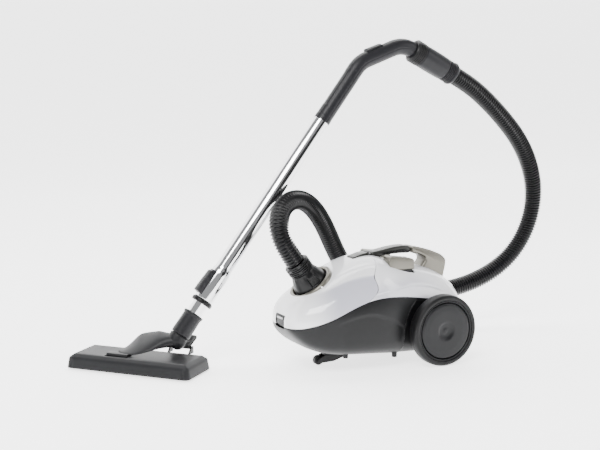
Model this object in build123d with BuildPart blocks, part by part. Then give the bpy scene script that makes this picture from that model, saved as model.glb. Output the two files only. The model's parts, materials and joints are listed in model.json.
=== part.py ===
"""Canister vacuum cleaner with hose, telescopic wand and floor head.

Frame: +Z up, floor at z = 0, millimetres. The canister's nose points to -X. The origin is the
centre of the floor box of everything but the hose.
"""
from build123d import *
import math
import os

os.makedirs("parts", exist_ok=True)

# ---- frame -----------------------------------------------------------------------------------
CENTRE_X = 6.7  # box centre, measured from the canister's own datum
CENTRE_Y = 63.0
GAP = 0.4  # free gap between neighbouring pieces
RUN = 0.05  # radial clearance of a running fit

# ---- canister --------------------------------------------------------------------------------
WALL = 2.6
# station x, half width, underside z, widest z, top z
STATIONS = [
    (-42, 34, 84, 97, 112),
    (-34, 56, 71, 98, 128),
    (-14, 76, 52, 98, 147),
    (20, 92, 37, 98, 169),
    (60, 101, 30, 98, 191),
    (100, 105, 27, 98, 208),
    (150, 105, 23, 98, 216),
    (195, 98, 18, 98, 204),
    (240, 96, 16, 98, 193),
    (290, 92, 16, 98, 179),
    (325, 78, 25, 96, 155),
    (340, 58, 45, 94, 130),
]
ROUND_TOP = 2.5  # superellipse powers of the section's upper and lower halves
ROUND_FOOT = 4.0
SECTION_POINTS = 28
PARTING = [(-60, 84), (-42, 89), (-7, 99), (25, 111), (54, 124), (98, 140), (131, 145),
           (165, 144), (211, 138), (244, 133), (300, 125), (360, 117)]
SEAM = [(98, 140), (123, 162), (124, 188), (140, 206), (149, 222)]  # lid to rear cover, side view
LID_HINGE = (150.0, 219.6)
HINGE_PIN_R = 1.5
HINGE_KNUCKLE_R = 3.2
HINGE_INNER = 9.0  # half width of the lid's knuckle
HINGE_OUTER = 14.0

INLET = (24.0, 167.0)  # inlet ring's centre
INLET_LEAN = math.atan2(0.6, 0.8)  # axis leans to the nose by this angle
RING_R = 47.5

WHEEL_R = 72.0
WHEEL_X = 261.0
AXLE_R = 5.0

CASTER_SWIVEL_X = 58.0
CASTER_X = 40.0
CASTER_R = 9.5
CASTER_WIDTH = 13.0
CASTER_AXLE_R = 1.6

PEDAL_X = 198.0
PEDAL_Y = 47.0
PEDAL_SIZE = (58.0, 28.0)

AXLE_ROOT = 90.0
AXLE_FACE = 100.0
AXLE_BOSS_R = 13.0
CASTER_SEAT = 24.0
CASTER_BOSS = 18.0
CASTER_BOSS_R = 9.0
CASTER_PIN_R = 4.0
SCREW_SPOTS = [(70, 60, 33.5), (70, -60, 33.5), (176, 70, 26), (176, -70, 26)]
SCREW_BOSS = 22.0
SCREW_LENGTH = 24.0
SCREW_BOSS_R = 5.0
SCREW_R = 2.0
LATCH_X = -42.0
LATCH_Z = 98.0
LATCH_WIDTH = 36.0
LATCH_HEIGHT = 24.0
LATCH_DEPTH = 6.0
RING_SKIRT = 24.0
PARTING_TOP = 150.0
PEDAL_GAP = 0.6
REAR_X = 340.0
GRILLE_Y = 12.0
GRILLE_Z = 83.0
GRILLE_WIDTH = 70.0
GRILLE_HEIGHT = 46.0
OUTLET_Y = -38.0
OUTLET_Z = 84.0
OUTLET_R = 6.0
CATCH_X = -34.0
CATCH_Z = 80.0
CATCH_WIDTH = 16.0
CATCH_HEIGHT = 18.0
CATCH_DEPTH = 6.0

MOTOR = (214.0, 34.0, 92.0)
MOTOR_R = 48.0
REEL = (250.0, -58.0, 86.0)
REEL_R = 50.0
SPINDLE_R = 6.0
SPINDLE_ROOT = 94.0
SPINDLE_TIP = 36.0

# ---- wand: distances run along it from its foot -----------------------------------------------
WAND_Y = 100.0
WAND_FOOT = (-215.5, 66.0)
WAND_RISE = math.radians(52.9)
OUTER_R = 17.5
OUTER_BORE = 16.7
INNER_R = 15.5
INNER_BORE = 14.7
FLARE_R = 20.0
SOCKET_R = 20.0
SOCKET_SHOULDER = 12.0
SOCKET_END = 51.0
SPIGOT_R = 16.0
SPIGOT_BORE = 12.0
SPIGOT_END = -14.0
KNUCKLE_R = 19.2
KNUCKLE_END = -22.0
BUSH_AT = 75.0
BUSH_R = 22.0
FLARE_START = 83.0
FLARE_END = 146.0
NECK_END = 158.0
OUTER_END = 520.0
INNER_END = 484.0
SLIDER_AT = 90.0
SLIDER_LENGTH = 50.0

# ---- bent handle and hose end ----------------------------------------------------------------
HANDLE_R = 17.6
HANDLE_BORE = 14.2
HANDLE_SPIGOT = 30.0
HANDLE_CORNERS = [(188.7, 600.5), (291.7, 639.0)]
HANDLE_RADII = [60.0, 60.0]
BARREL_AT = (320.5, 624.7)
BARREL_FALL = math.radians(26.5)
BARREL_R = 25.0
BARREL_START = 18.4
BARREL_END = 111.0
COLLAR_START = -6.0
COLLAR_R = 25.6
VENT_SLIDER = (20.0, 40.0, 18.0)  # start along the handle's straight, length, width

# ---- hose: the route's corners ---------------------------------------------------------------
HOSE_R = 20.0
HOSE_BORE = 16.5
HOSE_LEAD = 27.4  # straight length out of the sleeve, and into the barrel
HOSE_TAIL = 51.0
HOSE_FRONT = [(-40, 6, 262), (-39, 17, 292), (-22, 34, 317), (8, 52, 329),
              (41, 70, 325), (73, 88, 306), (101, 104, 277), (125, 118, 243), (148, 131, 206),
              (174, 142, 169), (207, 151, 136), (249, 156, 111), (299, 158, 95)]
HOSE_JOIN = (327, 158, 91)
HOSE_REAR = [(355, 158, 87), (410, 155, 86), (465, 150, 91), (520, 142, 105), (573, 133, 131),
             (615, 124, 169), (643, 116, 220), (655, 110, 276), (651, 106, 331), (631, 103, 385),
             (599, 101, 434), (558, 100, 477), (513, 100, 517)]

# ---- floor head: u along it, v across it towards the canister ----------------------------------
HEAD = (-297.0, 122.0)
HEAD_YAW = math.radians(-47.7)
HEAD_LENGTH = 270.0
HEAD_WIDTH = 102.0
HEAD_MIDDLE = 4.0
HEAD_FOOT = 3.0
HEAD_TOP = 31.0
HEAD_TAPER = 15.0
HEAD_CORNER = 12.0
HEAD_WALL = 6.0
CAVITY_TOP = 14.0
TILT_V = -20.0
TILT_Z = 23.0
TILT_R = 7.0
TILT_PIN_R = 3.0
TILT_SPAN = (-56.0, -6.0)
TONGUE_BOTTOM = 32.0
PEDAL_U = 66.0
PEDAL_V = 63.0
PEDAL_Z = 38.0
FOOT_PEDAL = (42.0, 36.0, 4.0)
FOOT_PEDAL_SLOPE = 22.0
PEDAL_PIN_R = 1.6
ROLLER_SPOTS = [(-112, 32), (112, 32)]
ROLLER_R = 6.0
ROLLER_PIN_R = 1.5
STRIP_SPOTS = [-37, 42]
STRIP_LENGTH = 210.0
STRIP_WIDTH = 4.0
LINT_SPOTS = [-25, 20]


def place(x, y, z):
    """A point of the canister's datum, in the model's frame."""
    return (x - CENTRE_X, y - CENTRE_Y, z)


FLOOR = Plane(origin=place(0, 0, 0))
MID = Plane(origin=place(0, 0, 0), x_dir=(1, 0, 0), z_dir=(0, -1, 0))  # local (x, z), normal -Y


def across(y):
    """Side-view plane at a distance from the canister's mid-plane."""
    return MID.offset(-y)


def station(x):
    """Cross-section plane at x: local (y, z), normal +X."""
    return Plane(origin=place(x, 0, 0), x_dir=(0, 1, 0), z_dir=(1, 0, 0))


def save(piece, name):
    """Label a finished piece and write its STEP file."""
    piece.part.label = name
    export_step(piece.part, f"parts/{name}.step")


INLET_AXIS = (-math.sin(INLET_LEAN), 0, math.cos(INLET_LEAN))
INLET_ACROSS = (math.cos(INLET_LEAN), 0, math.sin(INLET_LEAN))
INLET_PLANE = Plane(origin=place(INLET[0], 0, INLET[1]), x_dir=INLET_ACROSS, z_dir=INLET_AXIS)


# ---- canister shells ---------------------------------------------------------------------------
def section_points(half, foot, widest, top, inset):
    """Points of one closed cross-section: a superellipse, boxier below its widest line."""
    points = []
    for step in range(SECTION_POINTS):
        angle = 2 * math.pi * step / SECTION_POINTS
        c, s = math.cos(angle), math.sin(angle)
        power = 2 / (ROUND_TOP if s >= 0 else ROUND_FOOT)
        height = (top - widest if s >= 0 else widest - foot) - inset
        y = (half - inset) * math.copysign(abs(c) ** power, c)
        z = widest + height * math.copysign(abs(s) ** power, s)
        points.append((y, z))
    return points


def hull(inset):
    """Loft through the stations, inset all round; the end stations move in by as much."""
    last = len(STATIONS) - 1
    with BuildPart() as body:
        for index, (x, half, foot, widest, top) in enumerate(STATIONS):
            shift = inset if index == 0 else -inset if index == last else 0
            with BuildSketch(station(x + shift)):
                with BuildLine():
                    Spline(*section_points(half, foot, widest, top, inset), periodic=True)
                make_face()
        loft()
    return body.part


def below_parting(lift):
    """Everything under the parting line, raised by lift."""
    with BuildPart() as space:
        with BuildSketch(MID):
            with BuildLine():
                top = Spline(*[(x, z + lift) for x, z in PARTING])
                Polyline(top @ 0, (PARTING[0][0], -20), (PARTING[-1][0], -20), top @ 1)
            make_face()
        extrude(amount=150, both=True)
    return space.part


def ahead_of_seam(shift):
    """Everything on the nose side of the lid seam, moved back by shift."""
    seam = [(x + shift, z) for x, z in SEAM]
    with BuildPart() as space:
        with BuildSketch(MID):
            with BuildLine():
                Polyline((-100, 0), (seam[0][0], 0), *seam, (seam[-1][0], 300), (-100, 300),
                         close=True)
            make_face()
        extrude(amount=150, both=True)
    return space.part


OUTER_HULL = hull(0)
INNER_HULL = hull(WALL)
BELOW = below_parting(0)
BELOW_LID = below_parting(GAP)
LID_SIDE = ahead_of_seam(-GAP / 2)
REAR_SIDE = ahead_of_seam(GAP / 2)

with BuildPart() as lower_housing:
    add(OUTER_HULL)
    add(INNER_HULL, mode=Mode.SUBTRACT)
    add(BELOW, mode=Mode.INTERSECT)
    for side in (-1, 1):
        with BuildSketch(across(side * AXLE_ROOT)):
            with Locations((WHEEL_X, WHEEL_R)):
                Circle(AXLE_BOSS_R)
        extrude(amount=-side * (AXLE_FACE - AXLE_ROOT))
        with BuildSketch(across(side * AXLE_ROOT)):
            with Locations((WHEEL_X, WHEEL_R)):
                Circle(AXLE_R)
        extrude(amount=-side * (AXLE_FACE - AXLE_ROOT), mode=Mode.SUBTRACT)
    with BuildSketch(FLOOR.offset(CASTER_SEAT)):
        with Locations((CASTER_SWIVEL_X, 0)):
            Circle(CASTER_BOSS_R)
    extrude(amount=CASTER_BOSS)
    with BuildSketch(FLOOR.offset(CASTER_SEAT)):
        with Locations((CASTER_SWIVEL_X, 0)):
            Circle(CASTER_PIN_R + RUN)
    extrude(amount=CASTER_BOSS - 2, mode=Mode.SUBTRACT)
    for x, y, z in SCREW_SPOTS:
        with BuildSketch(FLOOR.offset(z)):
            with Locations((x, y)):
                Circle(SCREW_BOSS_R)
        extrude(amount=SCREW_BOSS)
        with BuildSketch(FLOOR):
            with Locations((x, y)):
                Circle(SCREW_R)
        extrude(amount=z + SCREW_BOSS, mode=Mode.SUBTRACT)
    with BuildSketch(across(-SPINDLE_ROOT)):
        with Locations((REEL[0], REEL[2])):
            Circle(SPINDLE_R)
    extrude(amount=SPINDLE_TIP - SPINDLE_ROOT)
    with BuildSketch(station(REAR_X)):
        with Locations((GRILLE_Y, GRILLE_Z)):
            Rectangle(GRILLE_WIDTH, GRILLE_HEIGHT)
        with Locations((OUTLET_Y, OUTLET_Z)):
            Circle(OUTLET_R)
    extrude(amount=10, both=True, mode=Mode.SUBTRACT)
    with BuildSketch(station(CATCH_X)):
        with Locations((0, CATCH_Z)):
            Rectangle(CATCH_WIDTH, CATCH_HEIGHT)
    extrude(amount=CATCH_DEPTH)
    with BuildSketch(station(LATCH_X)):
        with Locations((0, LATCH_Z - 2)):
            Rectangle(LATCH_WIDTH + 2, LATCH_HEIGHT + 4)
    extrude(amount=LATCH_DEPTH + 1, both=True, mode=Mode.SUBTRACT)
save(lower_housing, "lower_housing")

with BuildPart() as dust_lid:
    add(OUTER_HULL)
    add(INNER_HULL, mode=Mode.SUBTRACT)
    add(BELOW_LID, mode=Mode.SUBTRACT)
    add(LID_SIDE, mode=Mode.INTERSECT)
    with BuildSketch(INLET_PLANE):
        Circle(RING_R)
    extrude(amount=RING_SKIRT + 14, both=True, mode=Mode.SUBTRACT)
    with BuildSketch(station(LATCH_X)):
        with Locations((0, LATCH_Z)):
            Rectangle(LATCH_WIDTH + 2, LATCH_HEIGHT + 2)
    extrude(amount=LATCH_DEPTH + 1, both=True, mode=Mode.SUBTRACT)
save(dust_lid, "dust_lid")

with BuildPart() as rear_cover:
    add(OUTER_HULL)
    add(INNER_HULL, mode=Mode.SUBTRACT)
    add(BELOW, mode=Mode.SUBTRACT)
    add(REAR_SIDE, mode=Mode.SUBTRACT)
    with BuildSketch(FLOOR.offset(PARTING_TOP)):
        with Locations((PEDAL_X, PEDAL_Y), (PEDAL_X, -PEDAL_Y)):
            Rectangle(PEDAL_SIZE[0] + 2 * PEDAL_GAP, PEDAL_SIZE[1] + 2 * PEDAL_GAP)
    extrude(amount=120, mode=Mode.SUBTRACT)
save(rear_cover, "rear_cover")


# ---- helpers for turned pieces -----------------------------------------------------------------
def turned(plane, *outlines):
    """Solids turned about a plane's normal; each outline is a list of (radius, distance)."""
    side = Plane(origin=plane.origin, x_dir=plane.x_dir, z_dir=-plane.y_dir)
    with BuildPart() as piece:
        with BuildSketch(side):
            for outline in outlines:
                with BuildLine():
                    Polyline(*outline, close=True)
                make_face()
        revolve(axis=Axis(plane.origin, plane.z_dir))
    return piece


def tube(plane, outer, bore, start, end):
    """A plain tube or, with no bore, a rod along a plane's normal."""
    return turned(plane, [(bore, start), (outer, start), (outer, end), (bore, end)])


def side_slab(outline, low, high):
    """A side-view outline of (x, z) points, extruded between two distances from the mid-plane."""
    with BuildPart() as slab:
        with BuildSketch(across(low)):
            with BuildLine():
                Polyline(*outline, close=True)
            make_face()
        extrude(amount=low - high)
    return slab


def block(x, y, z):
    """A box between pairs of limits in the canister's datum."""
    with BuildPart() as solid:
        with BuildSketch(FLOOR.offset(z[0])):
            with Locations(((x[0] + x[1]) / 2, (y[0] + y[1]) / 2)):
                Rectangle(x[1] - x[0], y[1] - y[0])
        extrude(amount=z[1] - z[0])
    return solid


# ---- lid furniture -------------------------------------------------------------------------------
inlet_ring = turned(INLET_PLANE, [(37.5, -RING_SKIRT), (37.5, 1), (40, 5), (45.5, 5.5), (47.4, 3),
                                  (47.4, -RING_SKIRT)])
save(inlet_ring, "inlet_ring")

inlet_socket = turned(INLET_PLANE, [(30 + RUN, -RING_SKIRT), (30 + RUN, -3), (37.4, -3),
                                    (37.4, -RING_SKIRT)])
save(inlet_socket, "inlet_socket")

inlet_seal = tube(INLET_PLANE, 36, 24, -RING_SKIRT - 3, -RING_SKIRT)
save(inlet_seal, "inlet_seal")

LATCH_LEVER = [(-43.5, 91.2), (-40.5, 90.8), (-39.4, 92.5), (-39.4, 94), (-40.5, 94), (-40.5, 108.5),
               (-43, 108.5)]
LATCH_HALF = 17.4
LATCH_PIVOT = (-41.7, 108.5)
LATCH_KNUCKLE_R = 1.6
with BuildPart() as lid_latch:
    add(side_slab(LATCH_LEVER, -LATCH_HALF, LATCH_HALF).part)
    with BuildSketch(across(-LATCH_HALF)):
        with Locations(LATCH_PIVOT):
            Circle(LATCH_KNUCKLE_R)
    extrude(amount=-2 * LATCH_HALF)
save(lid_latch, "lid_latch")

STRAP = [(108, 204), (146.3, 210), (146.3, 221.5), (133, 219.6), (108, 212.5)]
KNUCKLE_ARM = [(145, 216.8), (LID_HINGE[0], LID_HINGE[1] - HINGE_KNUCKLE_R),
               (LID_HINGE[0], LID_HINGE[1] + HINGE_KNUCKLE_R), (145, 221.3)]
with BuildPart() as lid_hinge_strap:
    add(side_slab(STRAP, -HINGE_OUTER, HINGE_OUTER).part)
    add(OUTER_HULL, mode=Mode.SUBTRACT)
    add(side_slab(KNUCKLE_ARM, -HINGE_INNER, HINGE_INNER).part)
    with BuildSketch(across(-HINGE_INNER)):
        with Locations(LID_HINGE):
            Circle(HINGE_KNUCKLE_R)
    extrude(amount=-2 * HINGE_INNER)
    with BuildSketch(across(-HINGE_OUTER)):
        with Locations(LID_HINGE):
            Circle(HINGE_PIN_R + RUN)
    extrude(amount=-2 * HINGE_OUTER, mode=Mode.SUBTRACT)
save(lid_hinge_strap, "lid_hinge_strap")

with BuildPart() as lid_hinge_pin:
    with BuildSketch(across(-HINGE_OUTER)):
        with Locations(LID_HINGE):
            Circle(HINGE_PIN_R)
    extrude(amount=-2 * HINGE_OUTER)
save(lid_hinge_pin, "lid_hinge_pin")

# ---- hose cuff -----------------------------------------------------------------------------------
BELL = [(35, 0.4), (35, 6), (32.5, 14), (28.5, 23), (25.5, 30), (23.5, 34)]
BUTTON_REACH = (6.0, 24.0)
BUTTON_HALF = 8.0
BUTTON_FLOOR = 24.0
with BuildPart() as hose_cuff:
    add(turned(INLET_PLANE, [(18, -22), (30, -22), (30, 0.4), *BELL, (18, 34)]).part)
    for side in (-1, 1):
        with BuildSketch(INLET_PLANE.offset(BUTTON_REACH[0] - GAP)):
            with Locations((0, side * (BUTTON_FLOOR + 10))):
                Rectangle(2 * (BUTTON_HALF + GAP), 20)
        extrude(amount=BUTTON_REACH[1] - BUTTON_REACH[0] + 2 * GAP, mode=Mode.SUBTRACT)
save(hose_cuff, "hose_cuff")

BUTTON_BELL = [(r + 1.2, d) for r, d in BELL]
for side, name in ((-1, "cuff_button_near"), (1, "cuff_button_far")):
    with BuildPart() as cuff_button:
        with BuildSketch(INLET_PLANE.offset(BUTTON_REACH[0])):
            with Locations((0, side * (BUTTON_FLOOR + 12))):
                Rectangle(2 * BUTTON_HALF, 20)
        extrude(amount=BUTTON_REACH[1] - BUTTON_REACH[0])
        add(turned(INLET_PLANE, [(0, 0.4), *BUTTON_BELL, (0, 34)]).part, mode=Mode.INTERSECT)
    save(cuff_button, name)

FIN_PITCH = 4.4
SLEEVE_START = 34.0
SLEEVE_END = 56.0
sleeve_fins = [[(22.4, d), (25.4, d), (25.4, d + 1.8), (22.4, d + 1.8)]
               for d in (SLEEVE_START + 1 + FIN_PITCH * n for n in range(5))]
cuff_sleeve = turned(INLET_PLANE, [(18, SLEEVE_START), (22.6, SLEEVE_START), (22.6, SLEEVE_END),
                                   (18, SLEEVE_END)], *sleeve_fins)
save(cuff_sleeve, "cuff_sleeve")

# ---- carry handle --------------------------------------------------------------------------------
BRIDGE_TOP = [(154.4, 221.6), (173, 223.5), (206, 229), (229, 230.5), (259, 226), (290, 218.5),
              (320, 206), (330, 196)]
BRIDGE_FOOT = [(331, 186), (326, 162), (322, 140), (262, 140), (262, 176), (276, 190), (281, 197),
               (280, 203), (268, 210), (250, 213), (218, 214.6), (185, 213.5), (172, 208),
               (154.4, 205)]
GRIP_INSERT = [(179, 213.4), (185, 213.3), (218, 214.2), (250, 212.6), (252.2, 214), (253.2, 218.6),
               (228, 222), (206, 220.5), (182.4, 216.6)]
BRIDGE_HALF = 14.0
LEG_HALF = 19.0
with BuildPart() as carry_handle:
    add(side_slab(BRIDGE_TOP + BRIDGE_FOOT, -BRIDGE_HALF, BRIDGE_HALF).part)
    LEG = [(262, 140), (262, 176), (276, 190), (281, 197), (284, 215), (296, 214), (320, 205),
           (330, 195), (331, 186), (326, 162), (322, 140)]
    add(side_slab(LEG, -LEG_HALF, LEG_HALF).part)
    add(side_slab(GRIP_INSERT, -BRIDGE_HALF, BRIDGE_HALF).part, mode=Mode.SUBTRACT)
    add(OUTER_HULL, mode=Mode.SUBTRACT)
    for low, high in ((-HINGE_OUTER, -HINGE_INNER - GAP), (HINGE_INNER + GAP, HINGE_OUTER)):
        ARM = [(LID_HINGE[0], 216.8), (156, 216.8), (156, 221.8), (LID_HINGE[0], 222.6)]
        add(side_slab(ARM, low, high).part)
        with BuildSketch(across(low)):
            with Locations(LID_HINGE):
                Circle(HINGE_KNUCKLE_R)
        extrude(amount=low - high)
    with BuildSketch(across(-HINGE_OUTER)):
        with Locations(LID_HINGE):
            Circle(HINGE_PIN_R)
    extrude(amount=-2 * HINGE_OUTER, mode=Mode.SUBTRACT)
save(carry_handle, "carry_handle")

handle_grip = side_slab(GRIP_INSERT, -BRIDGE_HALF - 0.6, BRIDGE_HALF + 0.6)
save(handle_grip, "handle_grip")

# ---- foot pedals on the canister -----------------------------------------------------------------
PEDAL_SIDE = [(169, 183), (169, 216), (172, 217.6), (224, 210), (227, 206), (227, 183)]
for side, name in ((-1, "cord_pedal"), (1, "power_pedal")):
    middle = side * PEDAL_Y
    with BuildPart() as pedal:
        add(side_slab(PEDAL_SIDE, middle - PEDAL_SIZE[1] / 2, middle + PEDAL_SIZE[1] / 2).part)
        fillet(pedal.edges().filter_by(Axis.Y).group_by(Axis.Z)[-1], 1.2)
    save(pedal, name)

# ---- rear wheels and caster ----------------------------------------------------------------------
TREAD = [(61, 102), (68, 102), (71, 104), (72, 108), (72, 122), (71, 126), (68, 128), (61, 128)]
RIM = [(AXLE_R + RUN, 106), (12, 106), (12, 108), (60.9, 108), (60.9, 126), (57, 126), (57, 118),
       (AXLE_R + RUN, 118)]
CAP = [(0, 124), (15, 124.6), (18.5, 127), (40, 127.6), (54, 127), (56, 125.6), (56, 123.5),
       (0, 122.5)]
AXLE = [(0, AXLE_ROOT), (AXLE_R, AXLE_ROOT), (AXLE_R, 118.2), (8, 118.2), (8, 121), (0, 121)]
with BuildPart() as wheel_axles:
    for side, name in ((-1, "near"), (1, "far")):
        hub_plane = Plane(origin=place(WHEEL_X, 0, WHEEL_R), x_dir=(1, 0, 0), z_dir=(0, side, 0))
        for outline, piece in ((TREAD, "tyre"), (RIM, "wheel"), (CAP, "hub_cap")):
            save(turned(hub_plane, outline), f"{piece}_{name}")
        add(turned(hub_plane, AXLE).part)
save(wheel_axles, "wheel_axles")

CASTER_HALF = 10.0
CHEEK = [(34, 5), (46, 5), (68, 18), (68, 23.6), (50, 23.6), (50, 20), (34, 14)]
with BuildPart() as caster_fork:
    add(block((51, 68), (-CASTER_HALF, CASTER_HALF), (20, 23.6)).part)
    for low in (-CASTER_HALF, CASTER_WIDTH / 2 + 0.7):
        add(side_slab(CHEEK, low, low + CASTER_HALF - CASTER_WIDTH / 2 - 0.7).part)
    with BuildSketch(FLOOR.offset(20)):
        with Locations((CASTER_SWIVEL_X, 0)):
            Circle(CASTER_PIN_R)
    extrude(amount=18)
    with BuildSketch(across(-CASTER_HALF)):
        with Locations((CASTER_X, CASTER_R)):
            Circle(CASTER_AXLE_R)
    extrude(amount=-2 * CASTER_HALF)
save(caster_fork, "caster_fork")

caster_plane = Plane(origin=place(CASTER_X, 0, CASTER_R), x_dir=(1, 0, 0), z_dir=(0, 1, 0))
HALF_TREAD = CASTER_WIDTH / 2
caster_wheel = turned(caster_plane, [(CASTER_AXLE_R + RUN, -HALF_TREAD), (8.5, -HALF_TREAD),
                                     (CASTER_R, -5), (CASTER_R, 5), (8.5, HALF_TREAD),
                                     (CASTER_AXLE_R + RUN, HALF_TREAD)])
save(caster_wheel, "caster_wheel")

SCREW_HEAD_R = 3.4
with BuildPart() as housing_screws:
    for x, y, z in SCREW_SPOTS:
        with BuildSketch(FLOOR.offset(z - 9)):
            with Locations((x, y)):
                Circle(SCREW_HEAD_R)
        extrude(amount=2.5)
        with BuildSketch(FLOOR.offset(z - 6.5)):
            with Locations((x, y)):
                Circle(SCREW_R - RUN)
        extrude(amount=SCREW_LENGTH)
save(housing_screws, "housing_screws")

# ---- inside the canister -------------------------------------------------------------------------
MOTOR_LINE = Plane(origin=place(0, MOTOR[1], MOTOR[2]), x_dir=(0, 1, 0), z_dir=(1, 0, 0))
with BuildPart() as bulkhead:
    add(block((158, 161), (-110, 110), (20, 230)).part)
    add(INNER_HULL, mode=Mode.INTERSECT)
    with BuildSketch(MOTOR_LINE.offset(150)):
        Circle(30)
    extrude(amount=20, mode=Mode.SUBTRACT)
save(bulkhead, "bulkhead")

save(tube(MOTOR_LINE, 34, 0, 161.4, 167), "motor_filter")
MOTOR_CAN = [(24, 168), (MOTOR_R, 168), (MOTOR_R, 262), (4 + RUN, 262), (4 + RUN, 259),
             (MOTOR_R - 3, 259), (MOTOR_R - 3, 171), (24, 171)]
BEARING_PLATE = [(4 + RUN, 196), (MOTOR_R - 2, 196), (MOTOR_R - 2, 199), (4 + RUN, 199)]
STATOR = [(23, 203), (MOTOR_R - 2, 203), (MOTOR_R - 2, 250), (23, 250)]
save(turned(MOTOR_LINE, MOTOR_CAN, BEARING_PLATE, STATOR), "motor_housing")
save(turned(MOTOR_LINE, [(0, 173), (4, 173), (4, 205), (22, 205), (22, 248), (4, 248), (4, 266),
                         (0, 266)]), "motor_rotor")
save(tube(MOTOR_LINE, 42, 4, 178, 190), "fan")
with BuildPart() as motor_mounts:
    for start in (172, 250):
        add(tube(MOTOR_LINE, 53, MOTOR_R, start, start + 8).part)
save(motor_mounts, "motor_mounts")

REEL_LINE = Plane(origin=place(REEL[0], 0, REEL[2]), x_dir=(1, 0, 0), z_dir=(0, 1, 0))
REEL_SHAPE = [(SPINDLE_R + RUN, -80), (REEL_R, -80), (REEL_R, -77), (20, -77), (20, -43),
              (REEL_R, -43), (REEL_R, -40), (SPINDLE_R + RUN, -40)]
save(turned(REEL_LINE, REEL_SHAPE), "cord_reel")
BRAKE_PIVOT = (206.0, 150.0)
with BuildPart() as reel_brake:
    add(side_slab([(202, 145), (210, 145), (252, 138), (256, 141), (252, 146), (210, 154),
                   (202, 154)], -63, -53).part)
    with BuildSketch(across(-66)):
        with Locations(BRAKE_PIVOT):
            Circle(2.5)
    extrude(amount=-16)
save(reel_brake, "reel_brake")

with BuildPart() as circuit_board:
    add(block((172, 236), (4, 56), (156, 158)).part)
    add(block((190, 210), (40, 54), (158, 178.4)).part)
    for x, y, height in ((180, 14, 12), (196, 18, 9), (222, 16, 15), (228, 34, 7)):
        add(block((x - 5, x + 5), (y - 5, y + 5), (158, 158 + height)).part)
save(circuit_board, "circuit_board")

with BuildPart() as dust_bag:
    add(block((12, 125), (-53, 53), (50, 114)).part)
    fillet(dust_bag.edges(), 20)
save(dust_bag, "dust_bag")
with BuildPart() as bag_holder:
    with BuildSketch(INLET_PLANE.offset(-31)):
        Rectangle(56, 136)
        Circle(20, mode=Mode.SUBTRACT)
    extrude(amount=2.4)
    for low in (-68, 64):
        add(block((42, 157.6), (low, low + 4), (138, 144)).part)
save(bag_holder, "bag_holder")

with BuildPart() as exhaust_filter:
    add(block((300, 309), (-52, 58), (56, 112)).part)
save(exhaust_filter, "exhaust_filter")
with BuildPart() as exhaust_grille:
    with BuildSketch(station(REAR_X - 4)):
        with Locations((GRILLE_Y, GRILLE_Z)):
            Rectangle(GRILLE_WIDTH - GAP, GRILLE_HEIGHT - GAP)
            with GridLocations(0, 5, 1, 7):
                Rectangle(GRILLE_WIDTH - 12, 2.2, mode=Mode.SUBTRACT)
    extrude(amount=4)
save(exhaust_grille, "exhaust_grille")
OUTLET_LINE = Plane(origin=place(REAR_X, OUTLET_Y, OUTLET_Z), x_dir=(0, 1, 0), z_dir=(1, 0, 0))
save(turned(OUTLET_LINE, [(3.2, -6), (OUTLET_R - RUN, -6), (OUTLET_R - RUN, 0), (8.5, 0), (7.5, 2.4),
                          (3.2, 2.4)]), "cord_outlet")

# ---- wand ----------------------------------------------------------------------------------------
ALONG = Vector(math.cos(WAND_RISE), 0, math.sin(WAND_RISE))
UPSIDE = Vector(-math.sin(WAND_RISE), 0, math.cos(WAND_RISE))
WAND = Plane(origin=place(WAND_FOOT[0], WAND_Y, WAND_FOOT[1]), x_dir=UPSIDE, z_dir=ALONG)

neck_socket = turned(WAND, [(SPIGOT_BORE, SPIGOT_END), (SPIGOT_R, SPIGOT_END), (SPIGOT_R, GAP),
                            (SOCKET_R, GAP), (SOCKET_R, 46), (SOCKET_R + 1, 48),
                            (SOCKET_R + 1, SOCKET_END), (INNER_R + RUN, SOCKET_END),
                            (INNER_R + RUN, SOCKET_SHOULDER), (SPIGOT_BORE, SOCKET_SHOULDER)])
save(neck_socket, "neck_socket")
save(tube(WAND, INNER_R, INNER_BORE, SOCKET_SHOULDER, INNER_END), "inner_tube")
save(turned(WAND, [(INNER_R + RUN, BUSH_AT), (BUSH_R, BUSH_AT), (BUSH_R, FLARE_START),
                   (OUTER_BORE - RUN, FLARE_START), (OUTER_BORE - RUN, 110),
                   (INNER_R + RUN, 110)]), "tube_bush")
save(turned(WAND, [(OUTER_BORE, FLARE_START), (FLARE_R, FLARE_START), (FLARE_R, FLARE_END),
                   (OUTER_R, NECK_END), (OUTER_R, OUTER_END), (OUTER_BORE, OUTER_END)]),
     "outer_tube")

with BuildPart() as tube_lock:
    with BuildSketch(WAND.offset(SLIDER_AT)):
        with Locations((FLARE_R + 3.5, 0)):
            Rectangle(11, 26)
        Circle(FLARE_R + GAP, mode=Mode.SUBTRACT)
    extrude(amount=SLIDER_LENGTH, taper=4)
save(tube_lock, "tube_lock")

# ---- bent handle ---------------------------------------------------------------------------------
BARREL_DIR = Vector(math.cos(BARREL_FALL), 0, -math.sin(BARREL_FALL))
BARREL_UP = Vector(math.sin(BARREL_FALL), 0, math.cos(BARREL_FALL))
BARREL = Plane(origin=place(BARREL_AT[0], WAND_Y, BARREL_AT[1]), x_dir=BARREL_UP, z_dir=BARREL_DIR)
WAND_TOP = WAND.origin + ALONG * OUTER_END
HANDLE_END = BARREL.origin + BARREL_DIR * (BARREL_START - GAP)
CORNER_1, CORNER_2 = [Vector(*place(x, WAND_Y, z)) for x, z in HANDLE_CORNERS]
HANDLE_RUN = (CORNER_2 - CORNER_1).normalized()
HANDLE_OUT = Vector(-HANDLE_RUN.Z, 0, HANDLE_RUN.X)
ON_RUN = Plane(origin=CORNER_1, x_dir=HANDLE_OUT, z_dir=HANDLE_RUN)

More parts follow.
